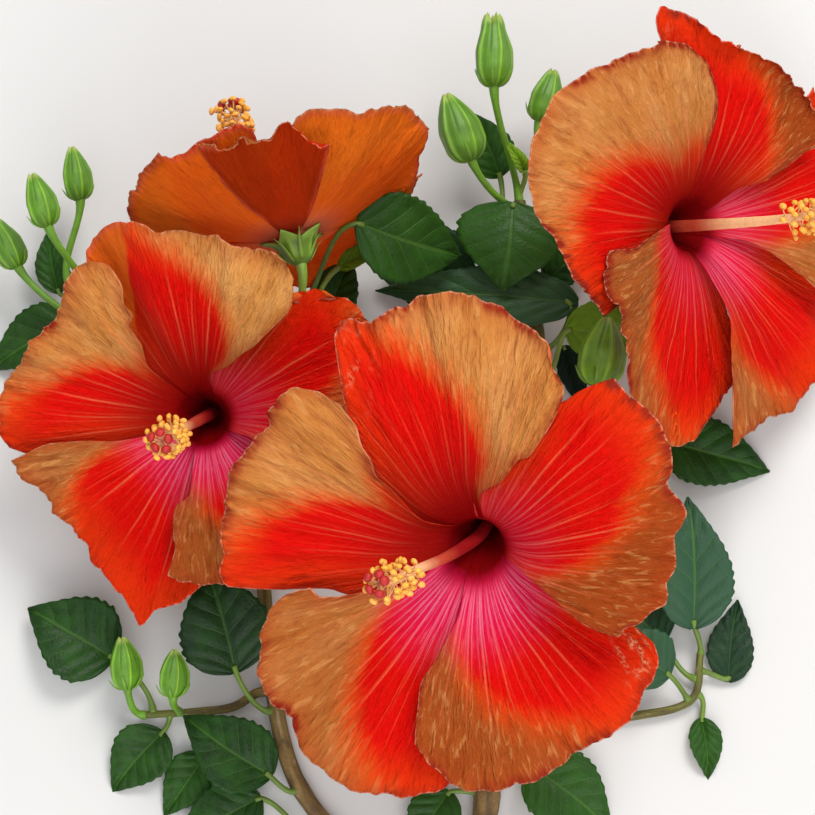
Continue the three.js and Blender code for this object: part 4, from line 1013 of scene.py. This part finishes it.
def seatOn(limb, share, target):   # a place on a limb's bark that faces target, and the way out
    point, along = alongLine(limb["line"], share)
    if share == 1:
        return point + along * limbValues["gap"], along
    out = np.asarray(target, float) - point
    out = unit(out - along * np.dot(out, along))
    return point + out * (limbRadius(limb, share) + limbValues["gap"]), out


def nearestShare(limb, target):
    gaps = np.linalg.norm(limb["line"] - np.asarray(target, float), axis=1)
    return int(gaps.argmin()) / (len(limb["line"]) - 1)


def stalkLine(limbName, share, foot, axis, count):   # a stalk from a limb's bark to foot
    limb = limbs[limbName]
    share = nearestShare(limb, foot) if share is None else share
    limb.setdefault("seats", []).append(share)
    start, out = seatOn(limb, share, foot)
    pull = 0.3 * np.linalg.norm(foot - start)
    knots = [start - out * limbValues["sunk"], start + out * pull, foot - axis * pull, foot]
    t = np.linspace(0, 1, 60)[:, None]
    line = (knots[0] * (1 - t) ** 3 + 3 * knots[1] * t * (1 - t) ** 2
            + 3 * knots[2] * t * t * (1 - t) + knots[3] * t ** 3)
    return evenly(line, count)


stalkKinds = {   # radius, how much thicker at the foot and at the tip, rings and sides
    "flower": (1.25, 0.5, 0.55, 46, 14), "bud": (1.25, 0.4, 0.5, 40, 12), "leaf": (0.95, 0.6, 0.2, 34, 10),
}


def stalkMesh(kind, limbName, share, foot, axis):
    radius, atFoot, atTip, rings, sides = stalkKinds[kind]
    line = stalkLine(limbName, share, foot, axis, rings)
    along = np.linspace(0, 1, rings)
    swollen = 1 + atFoot * np.exp(-(along / 0.12) ** 2) + atTip * np.exp(-((1 - along) / 0.12) ** 2)
    return tubeMesh(line, radius * swollen, sides)


def greenMarks(rib, fold=0.0, tip=0.0):
    return {"rib": rib, "fold": fold, "tip": tip}


for limb in limbs.values():
    limbPoints = [np.array(p, float) for p in limb["points"]]
    if "carrier" in limb:
        carrier = limbs[limb["carrier"]]
        seat, way = seatOn(carrier, nearestShare(carrier, limbPoints[0]), limbPoints[1])
        carrier.setdefault("seats", []).append(nearestShare(carrier, limbPoints[0]))
        limbPoints[0:1] = [seat - way * limbValues["sunk"], seat + way * limb["radius"][0] * 1.5]
    limb["line"] = splineThrough(limbPoints, limbValues["points"])


# Columns, calyces and flower stalks

columnValues = {
    "radius": 2.3, "taper": 0.45, "rib": 0.04, "uneven": 0.03, "rounded": (0.98, 0.9, 0.7, 0.4),
    "rings": 70, "sides": 24, "anthers": 52, "from": 0.76, "filament": 4.8, "filamentRadius": 0.24,
    "anther": 1.15, "styles": 5, "style": 4.6, "styleRadius": 0.4, "pad": 1.75,
    "paler": {"front": -0.08, "right": 0.25, "back": 0.3},
}
columnLines = {
    "front": [(4, 10, -23.6), (1.5, 6.5, -15), (-2.2, 4, -5), (-8, 2, 19), (-15, 0, 32), (-20, -2, 41),
              (-23, -2, 47)],
    "left": [(0, 0, -24.2), (0, 0, 0), (-1, -0.5, 18), (-2.5, -1.5, 36), (-3.3, -2, 46)],
    "right": [(0, 0, -24.2), (0, 0, 0), (0, 0.5, 35), (0, 1.5, 55), (0, 2, 63)],
    "back": [(0, 0, -24.2), (-0.5, 0, -4), (-5, 0, 9), (-9.3, 0, 19), (-10.4, 0, 29)],
}
calyxValues = {"foot": -31, "notch": -20, "tip": -10.5, "sides": 60, "rows": 30, "thickness": 0.7,
               "profile": [(-31, 0.5), (-30.3, 2.4), (-28, 4.6), (-22, 5.7), (-16, 7.0), (-10, 9.8)],
               "hook": 1.6, "keel": 0.4, "bracts": 7, "bract": 8.5, "spread": 2.6}
# the limb and the share of it that each flower leaves from, or None for its nearest place
flowerLimbs = {"front": ("main", None), "left": ("left", None), "right": ("main", None),
               "back": ("left", 0.9)}
goldenAngle = math.radians(137.5)
bractRings = 12


def blob(centre, along, radii, rows=7, columns=10, dent=0.0):   # an egg shape, dented on one side
    along = unit(np.asarray(along, float))
    side = unit(np.cross(along, [along[2] + 0.3, along[0], along[1] + 0.2]))
    rise = np.cross(along, side)
    tilt = np.linspace(-np.pi / 2 * 0.94, np.pi / 2 * 0.94, rows)[:, None]
    turn = np.linspace(0, 2 * np.pi, columns, endpoint=False)[None]
    wide = np.cos(tilt) * (1 - dent * np.exp(-((turn - np.pi) / 0.7) ** 2) * np.cos(tilt) ** 2)
    grid = (centre + (np.sin(tilt) * radii[0] + 0 * turn)[..., None] * along
            + (wide * np.cos(turn) * radii[1])[..., None] * side
            + (wide * np.sin(turn) * radii[2])[..., None] * rise)
    return wrappedMesh(grid)


def columnMarks(share, yellow=0.0, pad=0.0):
    return {"share": share, "yellow": yellow, "pad": pad}


def sideways(along, turn):   # the way out from a line at an angle about it
    side = unit(np.cross([0, 1, 0], along))
    return side * math.cos(turn) + np.cross(along, side) * math.sin(turn)


def antherParts(path, random):   # the anthers round a column, each on its filament
    values = columnValues
    parts = []
    for k in range(values["anthers"]):
        at = values["from"] + (1 - values["from"]) * (k + random.random()) / values["anthers"]
        centre, along = alongLine(path, at)
        out = unit(sideways(along, k * goldenAngle) + along * (0.25 + 0.5 * random.random()))
        length = values["filament"] * (0.75 + 0.5 * random.random()) + values["radius"] * 0.6
        tip = centre + out * length + along * 0.8
        line = splineThrough([centre, centre + out * length * 0.6, tip], 5)
        filament = tubeMesh(line, np.full(5, values["filamentRadius"]), 6)
        parts.append((*filament, columnMarks(0.95, yellow=0.35)))
        size = values["anther"] * (0.85 + 0.3 * random.random())
        head = blob(tip, np.cross(out, [random.random(), 1, 0.3]), (size * 1.2, size, size * 0.8),
                    dent=0.45)
        parts.append((*head, columnMarks(1.0, yellow=0.85 + 0.15 * random.random())))
    return parts


def styleParts(path, random):   # the short arms at a column's end, each with its round pad
    values = columnValues
    end, along = alongLine(path, 1)
    parts = []
    for k in range(values["styles"]):
        out = sideways(along, 2 * np.pi * (k + 0.3 * random.random()) / values["styles"])
        length = values["style"] * (0.85 + 0.25 * random.random())
        bend = [end - along, end + along * length * 0.45 + out * 0.8,
                end + along * length * 0.7 + out * length * 0.62]
        arm = tubeMesh(splineThrough(bend, 9), np.full(9, values["styleRadius"]), 8)
        parts.append((*arm, columnMarks(0.7, pad=0.45)))
        way = unit(bend[2] - bend[1])
        pad = blob(bend[2] + way * 0.5, way, np.array([0.75, 1, 1]) * values["pad"], 9, 14)
        parts.append((*pad, columnMarks(1.0, pad=1.0)))
    return parts


def addColumn(name, bloom, line, paler, seed):
    values = columnValues
    rings, sides = values["rings"], values["sides"]
    path = splineThrough(line, rings)
    share = np.linspace(0, 1, rings)
    around = np.linspace(0, 2 * np.pi, sides, endpoint=False)
    uneven = softNoise(around[None] * 0, share[:, None] * 30, seed)
    ribbed = 1 + values["rib"] * np.cos(5 * around)[None] + values["uneven"] * uneven
    radius = values["radius"] * (1 - values["taper"] * share)[:, None] * ribbed
    rounded = values["rounded"]
    radius[-len(rounded):] *= np.array(rounded)[:, None]
    shares = np.concatenate([np.repeat(share, sides), [0, 1]]) + paler
    random = np.random.default_rng(seed)
    parts = [(*tubeMesh(path, radius, sides), columnMarks(shares)), *antherParts(path, random),
             *styleParts(path, random)]
    points, faces, marks = joinMeshes(parts)
    piece = makePiece(name, fromBloom(bloom, points), faces, marks)
    piece.data.materials.append(columnSkin)
    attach(piece, "root")
    return piece


def bractMesh(angle, out, height, width):   # a narrow blade along a line beside its stalk's axis
    share = np.linspace(0, 1, len(out))
    line = np.stack([out, 0 * share, height], -1)
    turn = np.array([[math.cos(angle), math.sin(angle), 0], [-math.sin(angle), math.cos(angle), 0],
                     [0, 0, 1]])
    line = line @ turn
    tangent = unit(np.gradient(line, axis=0))
    side = np.array([-math.sin(angle), math.cos(angle), 0])
    rise = np.cross(tangent, side)
    wide = width * through([(0, 0.7), (0.35, 1), (0.7, 0.7), (1, 0.1)], share)[:, None]
    around = np.linspace(0, 2 * np.pi, 10, endpoint=False)[None]
    grid = (line[:, None] + (wide * np.cos(around))[..., None] * side
            + (0.42 * wide * np.sin(around))[..., None] * rise[:, None])
    return wrappedMesh(grid)


def addCalyx(name, bloom, limbName, limbShare):
    values = {**calyxValues, **bloom.get("calyx", {})}
    columns, rows = values["sides"], values["rows"]
    angle, v = np.meshgrid(np.linspace(0, 2 * np.pi, columns, endpoint=False), np.linspace(0, 1, rows))
    lobe = 1 - 2 * np.abs((angle * 5 / (2 * np.pi)) % 1 - 0.5)   # 1 at the middle of each of five teeth
    top = values["notch"] + (values["tip"] - values["notch"]) * (1 - (1 - lobe) ** 0.9)
    height = values["foot"] + (top - values["foot"]) * v
    radius = through(values["profile"], height)
    keel = np.exp(-((1 - lobe) / 0.16) ** 2) * smooth(v, 0.1, 0.3)
    seam = np.exp(-(lobe / 0.12) ** 2) * smooth(v, 0.25, 0.5)
    hooked = smooth(height, values["tip"] - 4.5, values["tip"]) ** 2
    radius = radius + values["keel"] * keel + values["hook"] * hooked
    lean = 1 - smooth(tubeValues["share"] * (height + tubeValues["depth"])
                      / (tubeValues["depth"] + tubeValues["top"]) / petalValues["straightened"])
    middle = np.stack([bloom["lean"][0] * lean + radius * np.cos(angle),
                       bloom["lean"][1] * lean + radius * np.sin(angle), height], -1)
    points, faces = sheetMesh(middle, np.full(angle.shape, values["thickness"]), True)[:2]
    fields = [np.tile(field.ravel(), 2) for field in (keel, seam, smooth(v, 0.7, 1.0))]
    parts = [(points, faces, greenMarks(*fields))]
    share = np.linspace(0, 1, bractRings)
    for k in range(values["bracts"]):
        climb = values["foot"] + 1.2 + values["bract"] * (0.85 + 0.1 * (k % 3)) * share
        out = through(values["profile"], climb) + 0.5 + values["spread"] * share ** 2
        points, faces = bractMesh(2 * np.pi * (k + 0.5) / values["bracts"], out, climb, 0.8)
        points = points + [bloom["lean"][0], bloom["lean"][1], 0]
        parts.append((points, faces, greenMarks(0.4, tip=0.3)))
    points, faces, marks = joinMeshes(parts)
    cup = (fromBloom(bloom, points), faces, marks)
    foot = fromBloom(bloom, np.array([[bloom["lean"][0], bloom["lean"][1], values["foot"] + 1.5]]))[0]
    stalk = stalkMesh("flower", limbName, limbShare, foot, bloomFrame(bloom)[1][2])
    points, faces, marks = joinMeshes([cup, (*stalk, greenMarks(0.7, tip=0.2))])
    piece = makePiece(name, points, faces, marks)
    piece.data.materials.append(calyxSkin)
    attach(piece, "root")
    return piece


# Buds: the limb and the share of it that each one leaves from, where its foot is, which way it
# points, its size and how far its tip has opened

buds = [
    ("bud_tip", "main", 1, (31, 129, 46), 91, 9, 27, 14.5, 1),
    ("bud_tip_left", "main", 0.99, (23, 102, 44), 112, 14, 26, 16.5, 0.1),
    ("bud_tip_right", "main", 0.97, (48, 122, 28), 74, 12, 20, 13, 0.3),
    ("bud_middle", "main", 0.74, (66, 19, 47), 80, 6, 25, 18, 0.1),
    ("bud_left_high", "twigLeft", 1, (-119, 93, 25), 100, 12, 20, 11.5, 0.2),
    ("bud_left_middle", "twigLeft", 0.9, (-128, 78, 43), 108, 12, 20, 12, 0.3),
    ("bud_left_low", "twigLeft", 0.84, (-141, 68, 24), 118, 12, 20, 12, 0.5),
    ("bud_low_left", "twigLow", 1, (-99, -84, 15), 97, 14, 19, 12.5, 0.2),
    ("bud_low_right", "twigLow", 0.72, (-82, -88, 27), 88, 14, 17, 11.5, 0.1),
]
# painted light: bud_middle lies in the right bloom's shadow and is made lighter
paintedLightBuds = {"bud_middle": 0.5}   # how much lighter than the other buds
budValues = {"outline": [(0, 0.07), (0.03, 0.22), (0.12, 0.37), (0.28, 0.455), (0.46, 0.46),
                         (0.66, 0.375), (0.82, 0.25), (0.93, 0.14), (1, 0.05)],
             "keels": 5, "keel": 0.085, "seam": 0.06, "thread": 0.012, "twist": 0.22, "opening": 0.12,
             "notch": 0.13, "bracts": 6, "bract": 0.26, "rows": 48, "sides": 80}


def pointing(heading, rise):   # a direction from its heading, counted from x to y, and its climb
    turn, climb = math.radians(heading), math.radians(rise)
    level = math.cos(climb)
    return np.array([level * math.cos(turn), level * math.sin(turn), math.sin(climb)])


def addBud(name, limbName, share, foot, heading, rise, length, width, opened, seed):
    values = budValues
    axis = pointing(heading, rise)
    side = unit(np.cross(axis, [0, 0, 1]))
    directions = np.stack([side, np.cross(axis, side), axis])
    angle, v = np.meshgrid(np.linspace(0, 2 * np.pi, values["sides"], endpoint=False),
                           np.linspace(0, 1, values["rows"]))
    apart = np.abs((angle * values["keels"] / (2 * np.pi)) % 1 - 0.5) * 2   # 1 on a keel, 0 on a seam
    keel = np.exp(-((1 - apart) / 0.15) ** 2)
    seam = np.exp(-(apart / 0.1) ** 2) * smooth(v, 0.3, 0.6)
    threads = (0.5 + 0.5 * np.cos(apart * 22)) ** 3 * smooth(v, 0.02, 0.2) * (1 - keel)
    radius = (through(values["outline"], v) + values["opening"] * opened * smooth(v, 0.7, 1.0)) * width
    ribs = 2.1 * values["keel"] * keel - values["seam"] * seam + values["thread"] * threads
    radius = radius * (1 - values["keel"] + ribs)
    twist = angle + values["twist"] * v
    parted = values["notch"] * (0.35 + 0.65 * opened) * (1 - apart) * smooth(v, 0.75, 1.0)
    grid = np.stack([radius * np.cos(twist), radius * np.sin(twist), (v - parted) * length], -1)
    points, faces = wrappedMesh(grid)
    points[-1, 2] -= 0.1 * length * opened
    pale = 0.7 * smooth(v, 0.85, 1.0)
    # ribs, lighter on some buds as painted light
    ribbed = keel + 0.3 * threads + paintedLightBuds.get(name, 0)
    atEnds = ((ribbed, (0, 0)), (seam, (0, 0)), (pale, (0, 1)))   # foot's middle, tip's middle
    fields = [np.concatenate([field.ravel(), ends]) for field, ends in atEnds]
    parts = [(points, faces, greenMarks(*fields))]
    reach = np.linspace(0, 1, bractRings)
    for k in range(values["bracts"]):
        climb = 0.01 + values["bract"] * (0.85 + 0.12 * ((k + seed) % 3)) * reach
        out = 1.08 * width * through(values["outline"], climb) + 0.2 + 0.5 * reach ** 2
        points, faces = bractMesh(2 * np.pi * (k + 0.4) / values["bracts"], out, climb * length, 0.6)
        parts.append((points, faces, greenMarks(0.5)))
    points, faces, marks = joinMeshes(parts)
    foot = np.array(foot, float)
    stalk = stalkMesh("bud", limbName, share, foot + axis * 1.2, axis)
    points, faces, marks = joinMeshes([(foot + points @ directions, faces, marks),
                                       (*stalk, greenMarks(0.3))])
    piece = makePiece(name + "_shaped", points, faces, marks)
    piece.data.materials.append(budSkin)
    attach(piece, "root")
    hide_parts(name)


# Leaves: the limb and the share of it that each one leaves from, the foot of its blade, its heading
# and climb, its length and width, its roll about the midrib, how its halves fold and its arch

leaves = [
    ("leaf_centre", "main", 0.97, (38, 90, 33), 263, -11, 32, 40, 0, -10, 4),
    ("leaf_centre_back", "left", 1, (-18, 76, 56), 352, -33, 46, 32, 12, 6, 3),
    ("leaf_centre_dark", "main", 0.85, (25, 71, 7), 185, 2, 34, 36, -10, 4, 1),
    ("leaf_long", "main", 0.83, (62, 56, 20), 176, -1, 74, 22, -4, 6, 2),
    ("leaf_top", "main", 0.935, (34, 104, 18), 115, 16, 26, 18, 0, 12, 2),
    ("leaf_right_small", "main", 0.88, (51, 66, 9), 42, 4, 26, 16, 0, 10, 1),
    ("leaf_bright", "main", 0.8, (57, 45, 24), 357, 6, 35, 22, 10, 8, 2),
    ("leaf_narrow_dark", "main", 0.75, (57, 42, 11), 286, -6, 25, 11, 0, 16, 1),
    ("leaf_inner", "left", 0.94, (-30, 52, 10), 68, 8, 26, 18, 0, 10, 1),
    ("leaf_inner_dark", "left", 0.86, (-38, 36, 6), 12, 2, 36, 22, 0, 8, 1),
    ("leaf_young", "left", 0.93, (-25, 67, 27), 25, -4, 18, 8, 0, 16, 3),
    ("leaf_right_tall", "twigRight", 1, (102, -62, 12), 92, 12, 47, 28, 4, 8, 3),
    ("leaf_right_round", "twigRight", 0.9, (92, -66, 4), 135, 2, 26, 24, 0, 4, 1),
    ("leaf_right_dark", "twigRight", 0.93, (115, -80, 3), 82, 0, 30, 17, 0, 4, 1),
    ("leaf_right_pale", "twigRight", 0.8, (93, -79, 14), 148, 4, 26, 22, 0, 8, 3),
    ("leaf_right_tip", "twigRight", 0.84, (105, -93, 4), 276, -6, 22, 12, 0, 8, 2),
    ("leaf_low_left", "twigLow", 0.93, (-105, -72, 6), 150, 6, 36, 32, 0, 10, 3),
    ("leaf_low_high", "left", 0.44, (-61, -78, 14), 106, 10, 40, 34, 0, 8, 3),
    ("leaf_low_middle", "left", 0.33, (-48, -114, 9), 146, 5, 38, 27, 0, 8, 4),
    ("leaf_low_hanging", "twigLow", 0.8, (-87, -98, 5), 229, -6, 28, 22, 0, 8, 2),
    ("leaf_low_pale", "twigLow", 0.5, (-72, -106, 3), 236, -3, 26, 18, 0, 6, 1),
    ("leaf_foot_left", "left", 0.26, (-52, -121, 5), 206, -5, 34, 24, 0, 6, 2),
    ("leaf_far_left", "twigLeft", 0.78, (-120, 52, 9), 207, -9, 38, 24, 0, 8, 2),
    ("leaf_left_small", "twigLeft", 0.95, (-128, 62, 10), 100, 4, 24, 13, 0, 12, 1),
    ("leaf_under_right", "main", 0.7, (92, 8, 6), 345, -4, 42, 26, 0, 6, 2),
    ("leaf_foot_middle", "main", 0.34, (15, -119, 6), 237, -8, 26, 19, 0, 6, 2),
    ("leaf_foot_right", "main", 0.36, (43, -110, 7), 322, -6, 38, 28, 0, 6, 2),
    ("leaf_stem_right", "main", 0.23, (36, -149, 7), 318, -7, 40, 28, 0, 6, 2),
    ("leaf_stem_left", "left", 0.16, (-27, -162, 6), 222, -6, 40, 28, 0, 6, 2),
    ("stipule_tip", "main", 1, (43, 104, 24), 128, 30, 15, 6, 0, 25, 3),
]
youngLeaves = ["leaf_bright", "leaf_young", "stipule_tip"]
# light and dark are partly each leaf's own tone and partly painted light and shade, and blue is a painted
# bluish sheen
leafTints = {   # how light, how dark and how blue; any other leaf's lightness comes from its number
    "leaf_centre": (0.45, 0, 0), "leaf_centre_back": (0.25, 0, 0), "leaf_centre_dark": (0, 0.4, 0),
    "leaf_long": (0.2, 0, 0.4), "leaf_narrow_dark": (0, 0.9, 0), "leaf_right_tall": (0.1, 0, 0.8),
    "leaf_right_round": (0, 0, 0.5), "leaf_right_dark": (0, 0.5, 0.3), "leaf_right_pale": (0.2, 0, 0.7),
    "leaf_low_left": (0.1, 0.15, 0), "leaf_low_high": (0, 0.35, 0), "leaf_inner_dark": (0, 0.5, 0),
    "leaf_bright": (0.5, 0, 0), "leaf_young": (0.4, 0, 0), "stipule_tip": (0.7, 0, 0),
}
leafValues = {"outline": [(0, 0.06), (0.03, 0.2), (0.1, 0.36), (0.3, 0.495), (0.42, 0.49), (0.6, 0.4),
                          (0.8, 0.215), (0.93, 0.085), (1, 0.005)],
              "toothPitch": 3.4, "tooth": 0.055, "thickness": 0.45, "columns": 21, "rows": 62,
              "veinPairs": 6, "veinBow": 0.34, "veinStraighter": 0.45, "veinPower": 0.9,
              "groove": 0.35, "quilt": 0.5, "ripple": 0.9, "uneven": 0.4, "tipDrop": 2.2,
              "floor": 0.5}


leafSkin = leafMaterial("leafSkin", leafLook)
youngLeafSkin = leafMaterial("youngLeafSkin", youngLeafLook)


def veinField(u, t):   # how near a place on a blade is to its midrib and to its side veins
    values = leafValues
    side = np.abs(u)
    bowed = values["veinBow"] * side ** values["veinPower"] * (1 - values["veinStraighter"] * t)
    phase = (t - bowed) * values["veinPairs"] + 0.5
    return side, np.abs((phase % 1) - 0.5)


def addLeaf(name, limbName, share, foot, heading, rise, length, width, roll, fold, arch, seed):
    # makes the blade, and gives back the mesh of its stalk
    values = leafValues
    foot = np.array(foot, float)
    forward = pointing(heading, rise)
    level = unit(np.cross([0, 0, 1], forward))
    tilt = math.radians(roll)
    side = level * math.cos(tilt) + np.cross(forward, level) * math.sin(tilt)
    up = np.cross(forward, side)
    u, t = np.meshgrid(np.linspace(-1, 1, values["columns"]), np.linspace(0, 1, values["rows"]))
    # u runs across the blade from edge to edge, and t from its foot to its tip
    teeth = (t * length / values["toothPitch"] + 0.15 * np.sign(u)) % 1
    tooth = (smooth(teeth, 0, 0.72) * (1 - smooth(teeth, 0.82, 1))) * smooth(t, 0.1, 0.25)
    half = through(values["outline"], t) * width
    half = half * (1 - 0.03 + values["tooth"] * tooth * np.abs(u) ** 6)
    nearRib, nearVein = veinField(u, t)
    groove = values["groove"] * (np.exp(-(nearRib * half / 0.9) ** 2)
                                 + 0.6 * np.exp(-(nearVein / 0.12) ** 2) * smooth(nearRib, 0, 0.1))
    quilt = values["quilt"] * np.clip(nearVein * 2, 0, 1) ** 0.7 * smooth(nearRib, 0.0, 0.35) * (
        1 - 0.7 * smooth(nearRib, 0.7, 1))
    bend = math.radians(fold)
    sway = values["ripple"] * softNoise(t * 4.2 + 3, np.sign(u) * 2.5, seed) * np.abs(u) ** 2
    lift = (np.abs(u) * half * math.sin(bend) + arch * np.sin(np.pi * t) + sway * smooth(t, 0, 0.15)
            + quilt - groove + values["uneven"] * softNoise(u * 2.2, t * 4, seed + 3)
            - values["tipDrop"] * smooth(t, 0.72, 1.0) ** 2 * (arch > 1.5))
    bow = 0.03 * length * math.sin(seed * 2.4) * np.sin(np.pi * t)
    middle = (foot + (t * length)[..., None] * forward
              + (u * half * math.cos(bend) + bow)[..., None] * side + lift[..., None] * up)
    middle[..., 2] = np.maximum(middle[..., 2], values["floor"] + 0.2 * nearRib)
    points, faces, place, island = sheetMesh(middle, np.full(u.shape, values["thickness"]))
    tints = leafTints.get(name, (0.4 * ((seed * 0.37) % 1), 0, 0))
    marks = {key: np.full(len(points), tint) for key, tint in zip(("light", "dark", "blueSheen"), tints)}
    marks["under"] = np.repeat([1.0, 0.0], u.size)
    piece = makePiece(name + "_blade", points, faces, marks, place, island)
    piece.data.materials.append(youngLeafSkin if name in youngLeaves else leafSkin)
    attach(piece, "root")
    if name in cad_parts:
        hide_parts(name)
    arrival = middle[4, values["columns"] // 2]
    rib = 0.7 if name in youngLeaves else 0.2
    return (*stalkMesh("leaf", limbName, share, arrival, forward), greenMarks(rib))


def addLimb(name, limb):
    values = limbValues
    length = np.linalg.norm(np.diff(limb["line"], axis=0), axis=1).sum()
    rings = int(length / values["step"])
    line = evenly(limb["line"], rings)
    angle, share = np.meshgrid(np.linspace(0, 2 * np.pi, values["sides"], endpoint=False),
                               np.linspace(0, 1, rings))
    along = share * length
    turns = angle / (2 * np.pi)
    radius = limbRadius(limb, share)
    grain = softNoise(turns * 14, along / 9, 31, 14)
    cracks = np.clip(0.35 - np.abs(softNoise(turns * 10, along / 14, 32, 10)), 0, 1) / 0.35
    lumps = softNoise(turns * 4, along / 11, 33, 4)
    young = limb["green"][0] + (limb["green"][1] - limb["green"][0]) * smooth(share, 0.1, 1.0)
    rough = values["fissure"] * (1 - 0.75 * young) * radius / 3.5   # shallower on green and thin wood
    swelling = sum(np.exp(-((share - seat) * length / (0.9 * radius)) ** 2)
                   for seat in set(limb.get("seats", [])))
    radius = (radius + rough * (0.6 * grain - 0.9 * cracks) + values["lump"] * radius * lumps
              + values["node"] * radius * np.clip(swelling, 0, 1))
    dots = np.clip(softNoise(turns * 9 + 0.5, along / 2.6, 34, 9) - 0.62, 0, 1) / 0.38   # raised pores
    radius = radius + values["dot"] * dots * (1 - young)
    cut = 0 * share
    grid = tubeGrid(line, radius, values["sides"])
    if "carrier" not in limb:   # the cut end, as rings of cut wood
        sizes = np.array(values["cutRings"])[:, None, None]
        grid = np.concatenate([line[0] + (grid[:1] - line[0]) * sizes, grid])
        grain, cracks, young, dots = [np.concatenate([np.repeat(field[:1], len(sizes), 0), field])
                                      for field in (grain, cracks, young, dots)]
        cut = np.concatenate([np.ones((len(sizes), values["sides"])), cut])
    points, faces = wrappedMesh(grid)
    marks = {key: np.concatenate([field.ravel(), field[0, :1], field[-1, :1]]) for key, field in
             {"grain": grain, "crack": cracks, "young": young, "dot": dots, "cut": cut}.items()}
    piece = makePiece("bark_" + name, points, faces, marks)
    piece.data.set_sharp_from_angle(angle=math.radians(values["sharp"]))
    piece.data.materials.append(barkSkin)
    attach(piece, "root")
    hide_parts(*limb["nodes"])


for flowerNumber, (bloomName, bloom) in enumerate(blooms.items()):
    column = addColumn(f"column_{bloomName}", bloom, columnLines[bloomName],
                       columnValues["paler"].get(bloomName, 0), 50 + flowerNumber)
    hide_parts(f"bloom_{bloomName}_column")
    calyx = addCalyx(f"calyx_{bloomName}", bloom, *flowerLimbs[bloomName])
    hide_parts(f"bloom_{bloomName}_calyx")
print("columns and calyces made")

for budNumber, bud in enumerate(buds):
    addBud(*bud, budNumber)
print("buds made")

leafStalks = [addLeaf(*leaf, leafNumber + 1) for leafNumber, leaf in enumerate(leaves)]
points, faces, marks = joinMeshes(leafStalks)
stalks = makePiece("leaf_stalks", points, faces, marks)
stalks.data.materials.append(stalkSkin)
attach(stalks, "root")
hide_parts(*[leaf[0] for leaf in leaves if leaf[0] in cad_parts])
print("leaves made")

for limbName, limb in limbs.items():
    addLimb(limbName, limb)
print("stems made")
